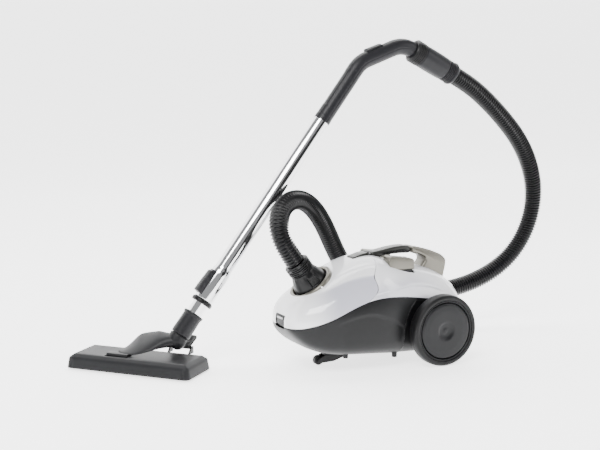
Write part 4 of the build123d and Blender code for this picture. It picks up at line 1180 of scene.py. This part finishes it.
# ---- lid furniture and hose cuff -----------------------------------------------------------------
@dataclass
class LidFittings:
    """Inlet ring, hinge strap and the hose cuff with its buttons and finned sleeve."""

    bell: tuple = ((35, 0.6), (35, 6), (32.5, 14), (28.5, 23), (25.5, 30), (23.5, 34))
    button_half: float = 0.30  # half of a button's angle, in radians
    button_reach: tuple[float, float] = (6.2, 23.8)
    fin_starts: tuple = (35.2, 39.4, 43.4, 47.6, 51.6)
    fin_pitch: float = 4.15
    fin_turn: float = 1.1  # how far the gaps turn from one fin to the next, in radians

    def bell_radius(self, distance: Array) -> Array:
        """Radius of the cuff's bell at a distance along its axis."""
        radii, places = zip(*self.bell)
        return np.interp(distance, places, radii)

    def build(self) -> None:
        """Make every fitting."""
        ring = rounded([(37.6, -24), (37.6, 0), (39.4, 4.6), (41.4, 5.9), (45.2, 5.2), (47.4, 2.6),
                        (47.4, -24)], 1.6, 6)
        dress(lathe("inlet_trim", INLET, ring, turns=120), "lid", Look.CHAMPAGNE, "inlet_ring")
        mark = rounded([(44.6, -1.6), (47.9, -1.6), (47.9, 1.6), (44.6, 1.6)], 0.8)
        spot = Axes(INLET.origin, tuple(-INLET.y), INLET.z)
        dress(slab("ring_mark", spot, mark, -4, 2.4, 0.5, 0.4), "lid", Look.CHROME)
        socket = rounded([(30.1, -24), (30.1, -3), (37.3, -3), (37.3, -24)], 0.8)
        dress(lathe("socket_liner", INLET, socket), "lid", Look.BLACK, "inlet_socket")
        strap = rounded([(108, 204), (146, 209), (147, 221.8), (133, 220), (112, 213.6)], 2.2)
        hinge = [slab("strap", SIDE, strap, -13.6, 13.6, 1.6),
                 lathe("knuckle", Axes((150, 0, 219.6), (1, 0, 0), (0, 1, 0)),
                       rounded([(1.6, -9), (3.2, -9), (3.2, 9), (1.6, 9)], 0.5))]
        dress(joined("hinge_strap", hinge), "lid", Look.STRAP, "lid_hinge_strap")
        self.cuff()
        self.buttons()
        self.sleeve()

    def cuff(self) -> None:
        """The bell-shaped cuff, with a recess under each button and shallow finger flutes."""
        profile = rounded([(18, -22), (29.8, -22), (29.8, 0.6), *self.bell[:1], (35.6, 3), (35, 7),
                           (32.5, 14), (28.5, 23), (25.6, 30), (24.4, 34), (18, 34)], 2.2, 7)

        def worked(radius: Array, along: Array, angle: Array) -> Array:
            """Radius less 1.6 under the buttons and less a cosine ripple on the upper bell."""
            aside = np.abs(np.abs(angle - math.pi) - math.pi / 2)
            under = 1 - step(self.button_half, self.button_half + 0.04, aside)
            under = under * step(4.6, 6, along) * (1 - step(24, 25.4, along))
            ripple = 0.5 * (1 + np.cos(16 * angle)) * step(20, 26, along) * (1 - step(30, 33, along))
            outside = step(22, 23, radius)
            return radius - outside * (1.6 * under + 0.5 * ripple)

        piece = lathe("cuff_bell", INLET, profile, worked, turns=144)
        dress(piece, "cuff", Look.BLACK, "hose_cuff")

    def buttons(self) -> None:
        """Two sprung buttons, each a patch of the bell with ribs across it."""
        low, high = self.button_reach

        def ribbed(along: Array, angle: Array) -> Array:
            """Bell radius plus a plate with rounded borders and raised-cosine ribs."""
            rim = np.minimum(step(0, 1.6, along - low), step(0, 1.6, high - along))
            side = 1 - step(self.button_half - 0.05, self.button_half, np.abs(angle))
            ribs = (0.5 + 0.5 * np.cos(2 * math.pi * (along - low) / 2.9)) * (np.abs(angle) < 0.22)
            return self.bell_radius(along) - 1.0 + (1.7 + 0.8 * ribs) * rim * side

        for name, middle in (("near", -math.pi / 2), ("far", math.pi / 2)):
            inner = float(self.bell_radius(np.array(high))) - 2.6
            piece = saddle(f"release_button_{name}", INLET, inner, ribbed, low, high,
                           self.button_half, middle, rows=64)
            dress(piece, f"cuff_button_{name}", Look.GRIP, f"cuff_button_{name}")

    def sleeve(self) -> None:
        """Bend relief: a tube with fins that are cut through at staggered places."""
        outline = [(18.2, 34), (22.6, 34)]
        for start in self.fin_starts:
            outline += [(22.6, start), (25.6, start + 0.4), (25.6, start + 1.7), (22.6, start + 2.2)]
        outline += [(22.6, 56), (18.2, 56)]

        def gapped(radius: Array, along: Array, angle: Array) -> Array:
            """Fins lose their height over two gaps, which turn on from one fin to the next."""
            turn = np.floor((along - self.fin_starts[0] + 1) / self.fin_pitch) * self.fin_turn
            gap = step(0.90, 0.96, np.cos(2 * (angle - turn)))
            return np.where(radius > 22.8, radius - (radius - 22.6) * gap, radius)

        piece = lathe("bend_relief", INLET, rounded(outline, 0.5, 4), gapped, turns=128)
        dress(piece, "cuff", Look.HOSE, "cuff_sleeve")


# ---- handle and pedals on top --------------------------------------------------------------------
@dataclass
class CarryHandle:
    """Carry handle: a grey bridge with a ribbed dark insert, and a champagne rear leg."""

    half: float = 14.0
    leg_half: float = 19.0

    def build(self) -> None:
        """Make the bridge, the leg, the insert and the pedals."""
        bridge = rounded([(154.4, 221.4), (173, 223.5), (206, 228.8), (229, 230.3), (246, 228.4),
                          (247, 213.6), (218, 214.6), (185, 213.5), (172, 208.6), (154.4, 206)], 9, 8)
        body = slab("bridge", SIDE, bridge, -self.half, self.half, 3.6, 1.2)
        hollow = rounded([(178, 215.2), (218, 216.8), (244.5, 215), (244.5, 219), (228, 222.6),
                          (206, 221.2), (183, 217.8)], 1.5)
        tools = [slab("tool", SIDE, hollow, 11.2, 30, 0.3), slab("tool", SIDE, hollow, -30, -11.2, 0.3)]
        dress(cut(body, tools), "canister", Look.STRAP)
        shape = rounded([(247.4, 228.2), (262, 225.4), (290, 218.3), (320, 205.8), (331, 195),
                         (331.4, 186), (326, 162), (322, 146), (262, 146), (262, 176), (276, 190),
                         (281, 197), (279, 203), (268, 209.6), (247.4, 213.4)], 8, 8)
        leg = slab("handle_leg", SIDE, shape, -self.leg_half, self.leg_half, 4.5, 1.4)
        dress(leg, "canister", Look.CHAMPAGNE, "carry_handle")
        self.insert()
        self.pedals()

    def insert(self) -> None:
        """Soft insert: a thin core in each side hollow with slanted ribs over it."""
        core = rounded([(178.6, 215.5), (218, 217.1), (244, 215.3), (244, 218.8), (228, 222.3),
                        (206, 220.9), (183.4, 217.5)], 1.2)
        made = [slab("core", SIDE, core, side * 11.6 - 0.8, side * 11.6 + 0.8, 0.3)
                for side in (-1, 1)]
        for rib in range(8):
            x = 186 + 7.2 * rib
            foot = float(spline((178, 218, 244), (215.6, 217.3, 215.6), np.array(x)))
            top = float(spline((183, 206, 228, 244), (217.4, 220.8, 222.2, 218.7), np.array(x)))
            bar = rounded([(x - 1.2, foot), (x + 1.8, foot), (x + 4.4, top), (x + 1.4, top)], 0.6)
            made += [slab("rib", SIDE, bar, side * 12.6 - 1, side * 12.6 + 1, 0.5, 0.6)
                     for side in (-1, 1)]
        dress(joined("grip_ribs", made), "canister", Look.GRIP, "handle_grip")

    def pedals(self) -> None:
        """Foot pedals: champagne caps that overhang a dark stem."""
        side_view = rounded([(168.8, 189), (168.4, 208), (170.5, 216), (174, 218), (222, 211),
                             (227, 207), (227, 189)], 3.5, 6)
        for side, name in ((-1, "cord_pedal"), (1, "power_pedal")):
            middle = -side * 47.0
            cap = slab(f"{name}_cap", SIDE, side_view, middle - 14, middle + 14, 2.4, 1.0)
            dress(cap, name, Look.CHAMPAGNE, name)
            stem = rounded([(172, 184), (172, 199), (224, 199), (224, 184)], 1.5)
            dress(slab(f"{name}_stem", SIDE, stem, middle - 11.5, middle + 11.5, 1), name, Look.BLACK)


# ---- wheels --------------------------------------------------------------------------------------
@dataclass
class Wheels:
    """Rear wheels and the front caster."""

    x: float = 261.0
    radius: float = 72.0

    def build(self) -> None:
        """Make both rear wheels and the caster."""
        tread = rounded([(60.9, 102), (67.5, 102), (70.8, 104), (72, 108), (72, 121), (70.6, 126),
                         (67, 128), (61.5, 127.4), (60.9, 124)], 2.6, 6)
        rim = rounded([(5.1, 106), (12, 106), (12, 108), (60.8, 108), (60.8, 126.2), (58.4, 126.6),
                       (57, 124), (57, 118), (5.1, 118)], 1.0)
        disc = [(0, 125.0), (3.2, 125.1), (4.6, 124.3), (9, 124.2), (14, 124.9), (18.5, 127.2),
                (20.5, 127.7), (40, 127.9), (51, 127.3), (54.6, 126.4), (55.8, 124.8), (55.8, 122.6),
                (40, 121.5), (0, 121.5)]
        for side, name in ((-1, "near"), (1, "far")):
            hub = Axes((self.x, 0, self.radius), (1, 0, 0), (0, side, 0))
            body = f"rear_wheel_{name}"
            dress(lathe(f"{name}_tread", hub, tread, turns=144), body, Look.TYRE, f"tyre_{name}")
            dress(lathe(f"{name}_rim", hub, rim, turns=144), body, Look.WHEEL, f"wheel_{name}")
            fine = np.array(disc)
            run = travel(fine)
            curve = sampled(fine, run, np.linspace(0, run[-1], 110))
            kernel = np.array([0.25, 0.5, 0.25])
            soft = curve.copy()
            soft[1:-1] = sum(kernel[k] * curve[k:len(curve) - 2 + k] for k in range(3))
            dress(lathe(f"{name}_disc", hub, soft, open_ends=True, turns=144), body, Look.WHEEL,
                  f"hub_cap_{name}")
        self.caster()

    def caster(self) -> None:
        """Caster: a bracket with a trailing fairing and a small roller."""
        plan = rounded([(34.5, 9), (36, 5), (46, 4.6), (72, 5.6), (98, 13.5), (96, 16.5), (68, 20),
                        (50, 19.8), (37, 14)], 2.5)
        sides = [slab("cheek", SIDE, plan, 7.4, 10.2, 0.9, 0.8),
                 slab("cheek", SIDE, plan, -10.2, -7.4, 0.9, 0.8)]
        bridge = rounded([(51, 19), (53, 8), (72, 6.4), (97, 14), (95, 16.3), (70, 22.8), (51, 23.4)],
                         2)
        sides.append(slab("bridge", SIDE, bridge, -9.6, 9.6, 1.2, 1.0))
        pin = Axes((40, 0, 9.5), (1, 0, 0), (0, 1, 0))
        sides.append(lathe("pin", pin, np.array([(0, -10), (1.6, -10), (1.6, 10), (0, 10)], float),
                           open_ends=True, turns=24))
        sides.append(lathe("stem", Axes((58, 0, 0), (1, 0, 0), (0, 0, 1)),
                           np.array([(0, 20), (4, 20), (4, 38), (0, 38)], float), open_ends=True,
                           turns=32))
        dress(joined("caster_bracket", sides), "caster", Look.BLACK, "caster_fork")
        roll = rounded([(1.7, -6.5), (8.2, -6.5), (9.5, -5), (9.5, 5), (8.2, 6.5), (1.7, 6.5)], 1.0)
        dress(lathe("caster_tread", pin, roll), "caster_roller", Look.TYRE, "caster_wheel")


# ---- wand and bent handle ------------------------------------------------------------------------
@dataclass
class Wand:
    """Chrome tubes, their bush and lock, the bent handle and the hose end."""

    handle_radius: float = 17.6
    bend: float = 60.0
    start: float = 520.0
    corners: tuple = ((188.7, 600.5), (291.7, 639.0))
    lock_reach: tuple[float, float] = (89.8, 144.0)
    tab_reach: tuple[float, float] = (20.0, 60.0)

    def build(self) -> None:
        """Make every piece of the wand."""
        self.tubes()
        self.lock()
        self.handle()
        self.slider()
        self.hose_end()

    def tubes(self) -> None:
        """Inner tube, outer tube with its flare, and the dark bush between them."""
        inner = rounded([(14.7, 12), (15.5, 12), (15.5, 484), (14.7, 484)], 0.3, 3)
        dress(lathe("inner_pipe", WAND, inner, turns=96), "canister", Look.CHROME, "inner_tube")
        outer = rounded([(16.75, 83.4), (18.4, 83.4), (20, 85), (20, 144), (19.2, 150), (17.9, 155),
                         (17.5, 159), (17.5, 520), (16.75, 520)], 3.0, 6)
        dress(lathe("outer_pipe", WAND, outer, turns=96), "wand", Look.CHROME, "outer_tube")
        bush = rounded([(15.6, 74.6), (20.8, 74.6), (22, 76), (22, 80.5), (21, 83.2), (15.6, 83.2)],
                       0.9)
        dress(lathe("bush_ring", WAND, bush, turns=96), "wand", Look.BLACK, "tube_bush")
        socket = rounded([(12, -14), (15.9, -14), (15.9, 0.6), (19, 0.6), (20, 3), (19.2, 44),
                          (20.6, 46), (21, 49), (20.4, 51), (15.6, 51), (15.6, 12), (12, 12)], 1.4)
        dress(lathe("neck_sleeve", WAND, socket, turns=96), "canister", Look.HANDLE, "neck_socket")

    def lock(self) -> None:
        """Lock slider: a saddle on the flare, higher and wider at its foot, with thumb ridges."""
        foot, top = self.lock_reach

        def hump(along: Array, angle: Array) -> Array:
            """Radius 20.5 plus a hump that falls along the tube and rounds off at its borders."""
            t = (along - foot) / (top - foot)
            wide = 0.66 - 0.20 * t
            rim = 1 - step(wide - 0.12, wide, np.abs(angle))
            ends = np.minimum(step(0, 0.05, t), step(0, 0.12, 1 - t))
            ridge = 0.7 * (0.5 + 0.5 * np.cos(2 * math.pi * along / 4.0))
            ridge = ridge * step(0.18, 0.24, t) * (1 - step(0.55, 0.62, t)) * (np.abs(angle) < 0.3)
            return 20.6 + (7.4 - 3.2 * t + ridge) * rim * ends

        piece = saddle("lock_slider", WAND, 20.4, hump, foot, top, 0.68, rows=90)
        dress(piece, "tube_lock", Look.HANDLE, "tube_lock")

    def path(self) -> tuple[Array, Array]:
        """Centre line of the bent handle: straights joined by two arcs of the same radius.

        Returns:
            Points (x, z) and unit directions, spaced along the line.
        """
        first = np.array([WAND.origin[0], WAND.origin[2]]) + self.start * np.array(
            [math.cos(RISE), math.sin(RISE)])
        last = np.array([BARREL.origin[0], BARREL.origin[2]]) + 18.0 * np.array(
            [math.cos(FALL), -math.sin(FALL)])
        stops = [first, *(np.array(c, float) for c in self.corners), last]
        pieces = [first[None]]
        for before, corner, after in zip(stops, stops[1:], stops[2:]):
            a, b = unit(before - corner), unit(after - corner)
            half = math.acos(float(np.clip(a @ b, -1, 1))) / 2
            reach = self.bend / math.tan(half)
            middle = corner + unit(a + b) * self.bend / math.sin(half)
            start, end = corner + a * reach - middle, corner + b * reach - middle
            t = np.linspace(0, 1, 40)[:, None]
            blend = start * (1 - t) + end * t
            pieces.append(middle + self.bend * blend / np.linalg.norm(blend, axis=1, keepdims=True))
        pieces.append(last[None])
        line = np.concatenate(pieces)
        run = travel(line)
        points = sampled(line, run, np.linspace(0, run[-1], 260))
        ahead = np.gradient(points, axis=0)
        return points, ahead / np.linalg.norm(ahead, axis=1, keepdims=True)

    def handle(self) -> None:
        """Bent tube: radius less a groove down each side and an inlaid panel on its outer side."""
        points, ahead = self.path()
        count = len(points)
        share = np.linspace(0, 1, count)[:, None]
        angle = np.linspace(0, 2 * math.pi, 120, endpoint=False)[None, :]  # 0 is the outer side
        away = np.abs((angle + math.pi) % (2 * math.pi) - math.pi)
        groove = 0.9 * np.exp(-((away - 1.75) / 0.045) ** 2)
        panel = 0.8 * (1 - step(0.62, 0.68, away)) * step(0.10, 0.12, share)
        panel = panel * (1 - step(0.36, 0.40, share))
        collar = 0.9 * (1 - step(0.035, 0.045, share))
        radius = self.handle_radius - 0.5 - groove - panel + collar * 0.5
        out = np.stack([-ahead[:, 1], ahead[:, 0]], -1)
        x = points[:, :1] + radius * np.cos(angle) * out[:, :1]
        z = points[:, 1:] + radius * np.cos(angle) * out[:, 1:]
        y = WAND_Y + radius * np.sin(angle)
        outer = np.stack(np.broadcast_arrays(x, y, z), -1)
        bore = 14.2
        inner = np.stack(np.broadcast_arrays(points[:, :1] + bore * np.cos(angle) * out[:, :1],
                                             WAND_Y + bore * np.sin(angle),
                                             points[:, 1:] + bore * np.cos(angle) * out[:, 1:]), -1)
        rows = np.concatenate([outer, inner[::-1][::4]])
        grip = skin("bent_grip", place(rows), ring_rows=True, ring_columns=True)
        dress(grip, "wand", Look.HANDLE, "bent_handle")

    def slider(self) -> None:
        """Suction slider: a saddle on the handle's straight, with a raised front lip."""
        first, second = (np.array(c, float) for c in self.corners)
        run = unit(second - first)
        axes = Axes((self.corners[0][0], WAND_Y, self.corners[0][1]), (-run[1], 0, run[0]),
                    (run[0], 0, run[1]))
        front, back = self.tab_reach

        def lip(along: Array, angle: Array) -> Array:
            """Radius 18 plus a plate that is highest at its front and rounds off at its borders."""
            t = (along - front) / (back - front)
            rim = 1 - step(0.44, 0.52, np.abs(angle))
            ends = np.minimum(step(0, 0.05, t), step(0, 0.10, 1 - t))
            ribs = 0.4 * (0.5 + 0.5 * np.cos(2 * math.pi * along / 3.6)) * (np.abs(angle) < 0.3)
            return 18.05 + (3.6 - 1.0 * t + ribs) * rim * ends

        piece = saddle("suction_tab", axes, 17.95, lip, front, back, 0.53, rows=80)
        dress(piece, "suction_slider", Look.HANDLE, "suction_slider")

    def hose_end(self) -> None:
        """Ribbed swivel collar and the barrel that holds the hose."""
        ribs = [(17.8, -6), (21, -6), (23.4, -3.6)]
        for q in (-2.4, 1.8, 6.0, 10.2, 14.4):
            ribs += [(23.8, q), (25.4, q + 0.5), (25.4, q + 2.3), (23.8, q + 2.8)]
        ribs += [(24.0, 18.2), (17.8, 18.2)]
        piece = lathe("ribbed_collar", BARREL, rounded(ribs, 0.6, 4), turns=120)
        dress(piece, "hose_end", Look.BLACK, "swivel_collar")
        shape = [(16.6, 18.5), (23.6, 18.5), (24.6, 21), (25, 40), (24.8, 66), (24.2, 82), (22.2, 84)]
        for q in (86, 90, 94, 98):
            shape += [(21.6, q), (23.8, q + 0.5), (23.8, q + 2.1), (21.6, q + 2.6)]
        shape += [(22, 102.5), (24.8, 103.4), (24.8, 107), (22.6, 111), (16.6, 111)]

        def dented(radius: Array, along: Array, angle: Array) -> Array:
            """Outer radius less a shallow oval dish with a button on the near side."""
            aside = (angle - 1.5 * math.pi) * 24
            far = np.hypot((along - 74) / 9, aside / 6)
            dish = 1.5 * np.exp(-(far ** 4)) - 1.0 * np.exp(-((far / 0.45) ** 4))
            return np.where(radius > 23, radius - dish, radius)

        fine = even(rounded(shape, 1.0, 5), 0.9)
        piece = lathe("hose_barrel", BARREL, fine, dented, turns=160)
        dress(piece, "hose_end", Look.HANDLE, "hose_end_barrel")


# ---- floor head ----------------------------------------------------------------------------------
@dataclass
class FloorHead:
    """Floor head: shell, neck with its tongue, foot pedal, bristles and lint strips."""

    length: float = 270.0
    width: float = 102.0
    middle: float = 4.0
    points: int = 480
    seam: float = 122.0  # place of each end cap's seam, from the middle

    def build(self) -> None:
        """Make every piece of the head."""
        self.shell()
        self.neck()
        self.pedal()
        self.bristles()
        self.pile()

    def outline(self, inset: float) -> Array:
        """Plan of the head: a rectangle with round corners, both smaller by the inset.

        Args:
            inset: how far the plan stands inside the head's full outline.

        Returns:
            The outline, always with the same number of points.
        """
        u, v = self.length / 2 - inset, self.width / 2 - inset
        box = [(-u, self.middle - v), (u, self.middle - v), (u, self.middle + v),
               (-u, self.middle + v)]
        return even(rounded(box, max(13 - inset, 1.5), 8), 1.4, self.points)

    def shell(self) -> None:
        """Shell: plan outlines stacked from the cavity's roof, down inside, up the sides and over
        a broad bevel, to a top with a slightly hollow middle."""
        levels = [(6.5, 14), (6.5, 5), (6.2, 3.4), (5.2, 3), (1.2, 3), (0.2, 3.4), (0, 5), (0.6, 8),
                  (1.4, 12), (2.8, 20), (3.4, 22.6), (4.6, 24.6), (7.2, 26.4), (10.6, 28.8),
                  (12.4, 30.2), (14.5, 30.8), (18, 31), (24, 31)]
        rows = []
        for inset, z in levels:
            plan = self.outline(inset)
            seam = 1.5 * np.exp(-((np.abs(plan[:, 0]) - self.seam) / 0.9) ** 2)[:, None]
            seam = seam * step(4, 6, z) * (1 - step(20, 23, z))
            if z < 24 and inset < 5:
                plan = inward(plan, 1.0) * seam + plan * (1 - seam)
            rows.append(HEAD.at(plan[:, 0], plan[:, 1], z))
        piece = skin("head_cover", np.stack(rows), ring_columns=True, caps=True)
        pocket = slab("tool", HEAD, rounded([(-57, -30), (-5.5, -30), (-5.5, -8), (-57, -8)], 3),
                      13, 45, 0.4)
        cut(piece, [pocket])
        lugs = [slab("lug", Axes(HEAD.spot(u, 0, 0), tuple(HEAD.y), HEAD.x),
                     rounded([(45, 27), (66.5, 27), (66.5, 41), (60, 41.5)], 2), 0, 3, 0.5, 0.8)
                for u in (41.6, 87.4)]
        shell = joined("head_cover", [piece, *lugs])
        dress(softened(shell, 0.5, 60), "floor_head", Look.HEAD, "head_shell")

    def neck(self) -> None:
        """Neck: a spoon-shaped tongue that rises to a round knuckle, and the tilt barrel under it.

        The tongue's section is a flattened superellipse; its half width follows a quarter ellipse
        from the tip and then narrows to the knuckle, and its rear side is tilted upwards."""
        start, end = np.array([-40.0, -4.0]), np.array([63.0, 36.0])
        w = np.linspace(0, 1, 60)[:, None]
        way = unit(end - start)
        side = np.array([-way[1], way[0]])
        half = np.where(w < 0.42, 31 * np.sqrt(np.clip(1 - (1 - w / 0.42) ** 2, 0, 1)),
                        31 - 14 * step(0.42, 1, w))
        thick = 2.6 + 7.5 * step(0.3, 1, w)
        height = 34.6 + 1.2 * w + 17 * step(0.22, 1.02, w)
        angle = np.linspace(0, 2 * math.pi, 64, endpoint=False)[None, :]
        c, s = np.cos(angle), np.sin(angle)
        across = half * np.sign(c) * np.abs(c) ** 0.75
        crown = np.where(s > 0, 1.0 + 0.5 * (1 - (across / 30) ** 2), 0.9)
        tilt = 0.42 * step(0.02, 0.4, w) * (1 - 0.7 * step(0.7, 1, w))
        z = height + thick * crown * np.sign(s) * np.abs(s) ** 0.8 + tilt * (across + half)
        line = start + (end - start) * w
        u = line[:, :1] + across * side[0]
        v = line[:, 1:] + across * side[1]
        rows = HEAD.at(u, v, z)
        tongue = skin("tongue", rows, ring_columns=True, caps=True)
        knuckle = lathe("knuckle", WAND, rounded([(0, -29), (9, -28.6), (16, -24), (19.4, -15),
                                                  (19.4, -2), (18.4, -0.4), (16.4, -0.4),
                                                  (16.4, -14.6), (0, -14.6)], 2.5)[5:-4],
                        open_ends=True, turns=96)
        pivot = Axes(HEAD.spot(0, -20, 23), (0, 0, 1), HEAD.x)
        barrel = lathe("barrel", pivot, rounded([(3.1, -55.5), (7, -55.5), (7, -6.5), (3.1, -6.5)],
                                                0.8))
        riser = slab("riser", HEAD, rounded([(-55, -26), (-7, -26), (-7, -9), (-55, -9)], 3), 26, 36,
                     1)
        dress(joined("neck_tongue", [tongue, knuckle, barrel, riser]), "neck", Look.HEAD,
              "neck_elbow")

    def pedal(self) -> None:
        """Foot pedal: a sloping plate with raised ribs on its upper half."""
        slope = math.radians(22)
        rise = HEAD.y * math.cos(slope) + np.array([0, 0, math.sin(slope)])
        axes = Axes(HEAD.spot(66, 63, 38), HEAD.x, tuple(np.cross(unit(HEAD.x), rise)))
        plate = rounded([(-21, -7), (21, -7), (21, 35), (-21, 35)], 8, 8)
        made = [slab("plate", axes, plate, 2.2, 6.2, 1.6, 1.0)]
        for rib in range(7):
            y = -1.5 + 4.8 * rib
            bar = rounded([(-16, y), (16, y), (16, y + 1.9), (-16, y + 1.9)], 0.9)
            made.append(slab("rib", axes, bar, 5.6, 7.1, 0.6, 0.8))
        hinge = Axes(HEAD.spot(0, 63, 38), (0, 0, 1), HEAD.x)
        rod = rounded([(0, 45), (3.1, 45), (3.1, 87), (0, 87)], 0.6)[2:-3]
        made.append(lathe("bar", hinge, rod, open_ends=True, turns=36))
        dress(joined("ribbed_pedal", made), "head_pedal", Look.HEAD, "head_pedal")

    def bristles(self) -> None:
        """Two rows of bristle tufts: each is a bent six-sided cone on a thin base strip."""
        random = np.random.default_rng(7)
        tufts = 62
        u = np.linspace(-103, 103, tufts)
        made = []
        angle = np.linspace(0, 2 * math.pi, 6, endpoint=False)
        for v in (-37, 42):
            lean = random.normal(0, 0.2, (tufts, 2))
            levels = np.array([9.0, 5.0, 0.7])
            girth = np.array([1.5, 1.5, 1.6])
            bend = ((9 - levels) / 9) ** 2
            ring_u = (u[:, None, None] + lean[:, :1, None] * bend[None, :, None]
                      + girth[None, :, None] * np.cos(angle))
            ring_v = (v + lean[:, 1:, None] * bend[None, :, None]
                      + girth[None, :, None] * np.sin(angle))
            rows = HEAD.at(ring_u, ring_v, levels[None, :, None] * np.ones((tufts, 1, 6)))
            made += [skin("tuft", rows[k], ring_columns=True, caps=True) for k in range(tufts)]
            strip = rounded([(-105, v - 2), (105, v - 2), (105, v + 2), (-105, v + 2)], 0.8)
            made.append(slab("strip", HEAD, strip, 7.6, 9.5, 0.4))
        dress(joined("bristle_rows", made), "brushes", Look.HAIR, "brush_strips")

    def pile(self) -> None:
        """Lint strips: low crowned bands with a rippled pile."""
        made = []
        for v in (-25, 20):
            along = np.linspace(-98, 98, 160)[:, None]
            angle = np.linspace(0, 2 * math.pi, 24, endpoint=False)[None, :]
            c, s = np.cos(angle), np.sin(angle)
            side = 4.4 * np.sign(c) * np.abs(c) ** 0.6
            z = 1.6 + 1.5 * np.sign(s) * np.abs(s) ** 0.6 * (1 - 0.06 * np.cos(along * 1.9 + side))
            rows = HEAD.at(along * np.ones_like(side), v + side * np.ones_like(along),
                           np.clip(z, 0.1, 3.0))
            made.append(skin("pile", rows, ring_columns=True, caps=True))
        dress(joined("lint_pile", made), "floor_head", Look.FELT, "lint_strips")


# ---- inside --------------------------------------------------------------------------------------
@dataclass
class Inside:
    """Soft pieces inside the canister, and finishes for the CAD pieces that stay."""

    bag_low: tuple[float, float, float] = (12, -53, 50)
    bag_high: tuple[float, float, float] = (125, 53, 114)

    def bag(self) -> None:
        """Dust bag: a superellipsoid with sides drawn in, soft folds and a crimped tail seam."""
        low, high = np.array(self.bag_low), np.array(self.bag_high)
        centre, half = (low + high) / 2, (high - low) / 2 - 0.8
        lat = np.linspace(-math.pi / 2, math.pi / 2, 90)[:, None]
        lon = np.linspace(0, 2 * math.pi, 150, endpoint=False)[None, :]

        def soft(value: Array, power: float) -> Array:
            """Signed power."""
            return np.sign(value) * np.abs(value) ** power

        x = soft(np.cos(lat), 0.4) * soft(np.cos(lon), 0.42)
        y = soft(np.cos(lat), 0.4) * soft(np.sin(lon), 0.42)
        z = soft(np.sin(lat), 0.6) * np.ones_like(lon)
        fold = 0.028 * np.sin(9 * lon + 3 * np.sin(2 * lat)) * np.cos(lat) ** 2
        pleat = 0.02 * np.cos(26 * lat) * np.exp(-((np.abs(np.sin(lon)) - 1) / 0.25) ** 2)
        pull = 1 - 0.05 - fold - pleat - 0.03
        points = centre + np.stack([x * pull, y * pull, z * (1 - 0.03 - 0.03 * np.cos(7 * x + 5 * y))],
                                   -1) * half
        piece = skin("paper_bag", place(points), ring_columns=True)
        dress(piece, "canister", Look.PAPER, "dust_bag")

    def filters(self) -> None:
        """Motor and exhaust filters: foam pads with rippled faces."""
        motor = Axes((0, 34, 92), (0, 1, 0), (1, 0, 0))
        rim = np.array([(0, 161.6), (30, 161.6), (33.4, 162.2), (33.8, 164.4), (33.2, 166.4),
                        (30, 166.9), (0, 166.9)])

        def rippled(radius: Array, along: Array, angle: Array) -> Array:
            """Radius less a raised-cosine ripple of forty waves, which grows towards the rim."""
            return radius - 0.25 * (1 + np.cos(40 * angle)) * step(20, 33, radius)

        pad = lathe("foam_disc", motor, even_open(rim, 1.2), rippled, open_ends=True)
        dress(pad, "canister", Look.FOAM, "motor_filter")
        side = Axes((300.2, 3, 84), (0, 1, 0), (1, 0, 0))
        outline = rounded([(-54.6, -27.6), (54.6, -27.6), (54.6, 27.6), (-54.6, 27.6)], 5, 6)
        sheet = slab("foam_pad", side, outline, 0.2, 8.4, 1.6, 1.5)
        dress(sheet, "canister", Look.FOAM, "exhaust_filter")

    def build(self) -> None:
        """Make the bag and the filters, then dress the CAD nodes that stay in view."""
        self.bag()
        self.filters()
        looks = {look.slot: look for look in Look}
        for part in frame["record"]["subparts"]:
            node = frame["nodes"][part["node"]]
            look = looks[part["material_slot"]]
            node.data.materials.clear()
            node.data.materials.append(look.material)


def main() -> None:
    """Build the studio, the hose and every sub-assembly."""
    logging.basicConfig(level=logging.INFO, format="%(message)s")
    for part in (Studio(), Hose(), Canister(), LidFittings(), CarryHandle(), Wheels(), Wand(),
                 FloorHead(), Inside()):
        part.build()
        LOG.info("%s is done", type(part).__name__)


if __name__ == "__main__":
    main()
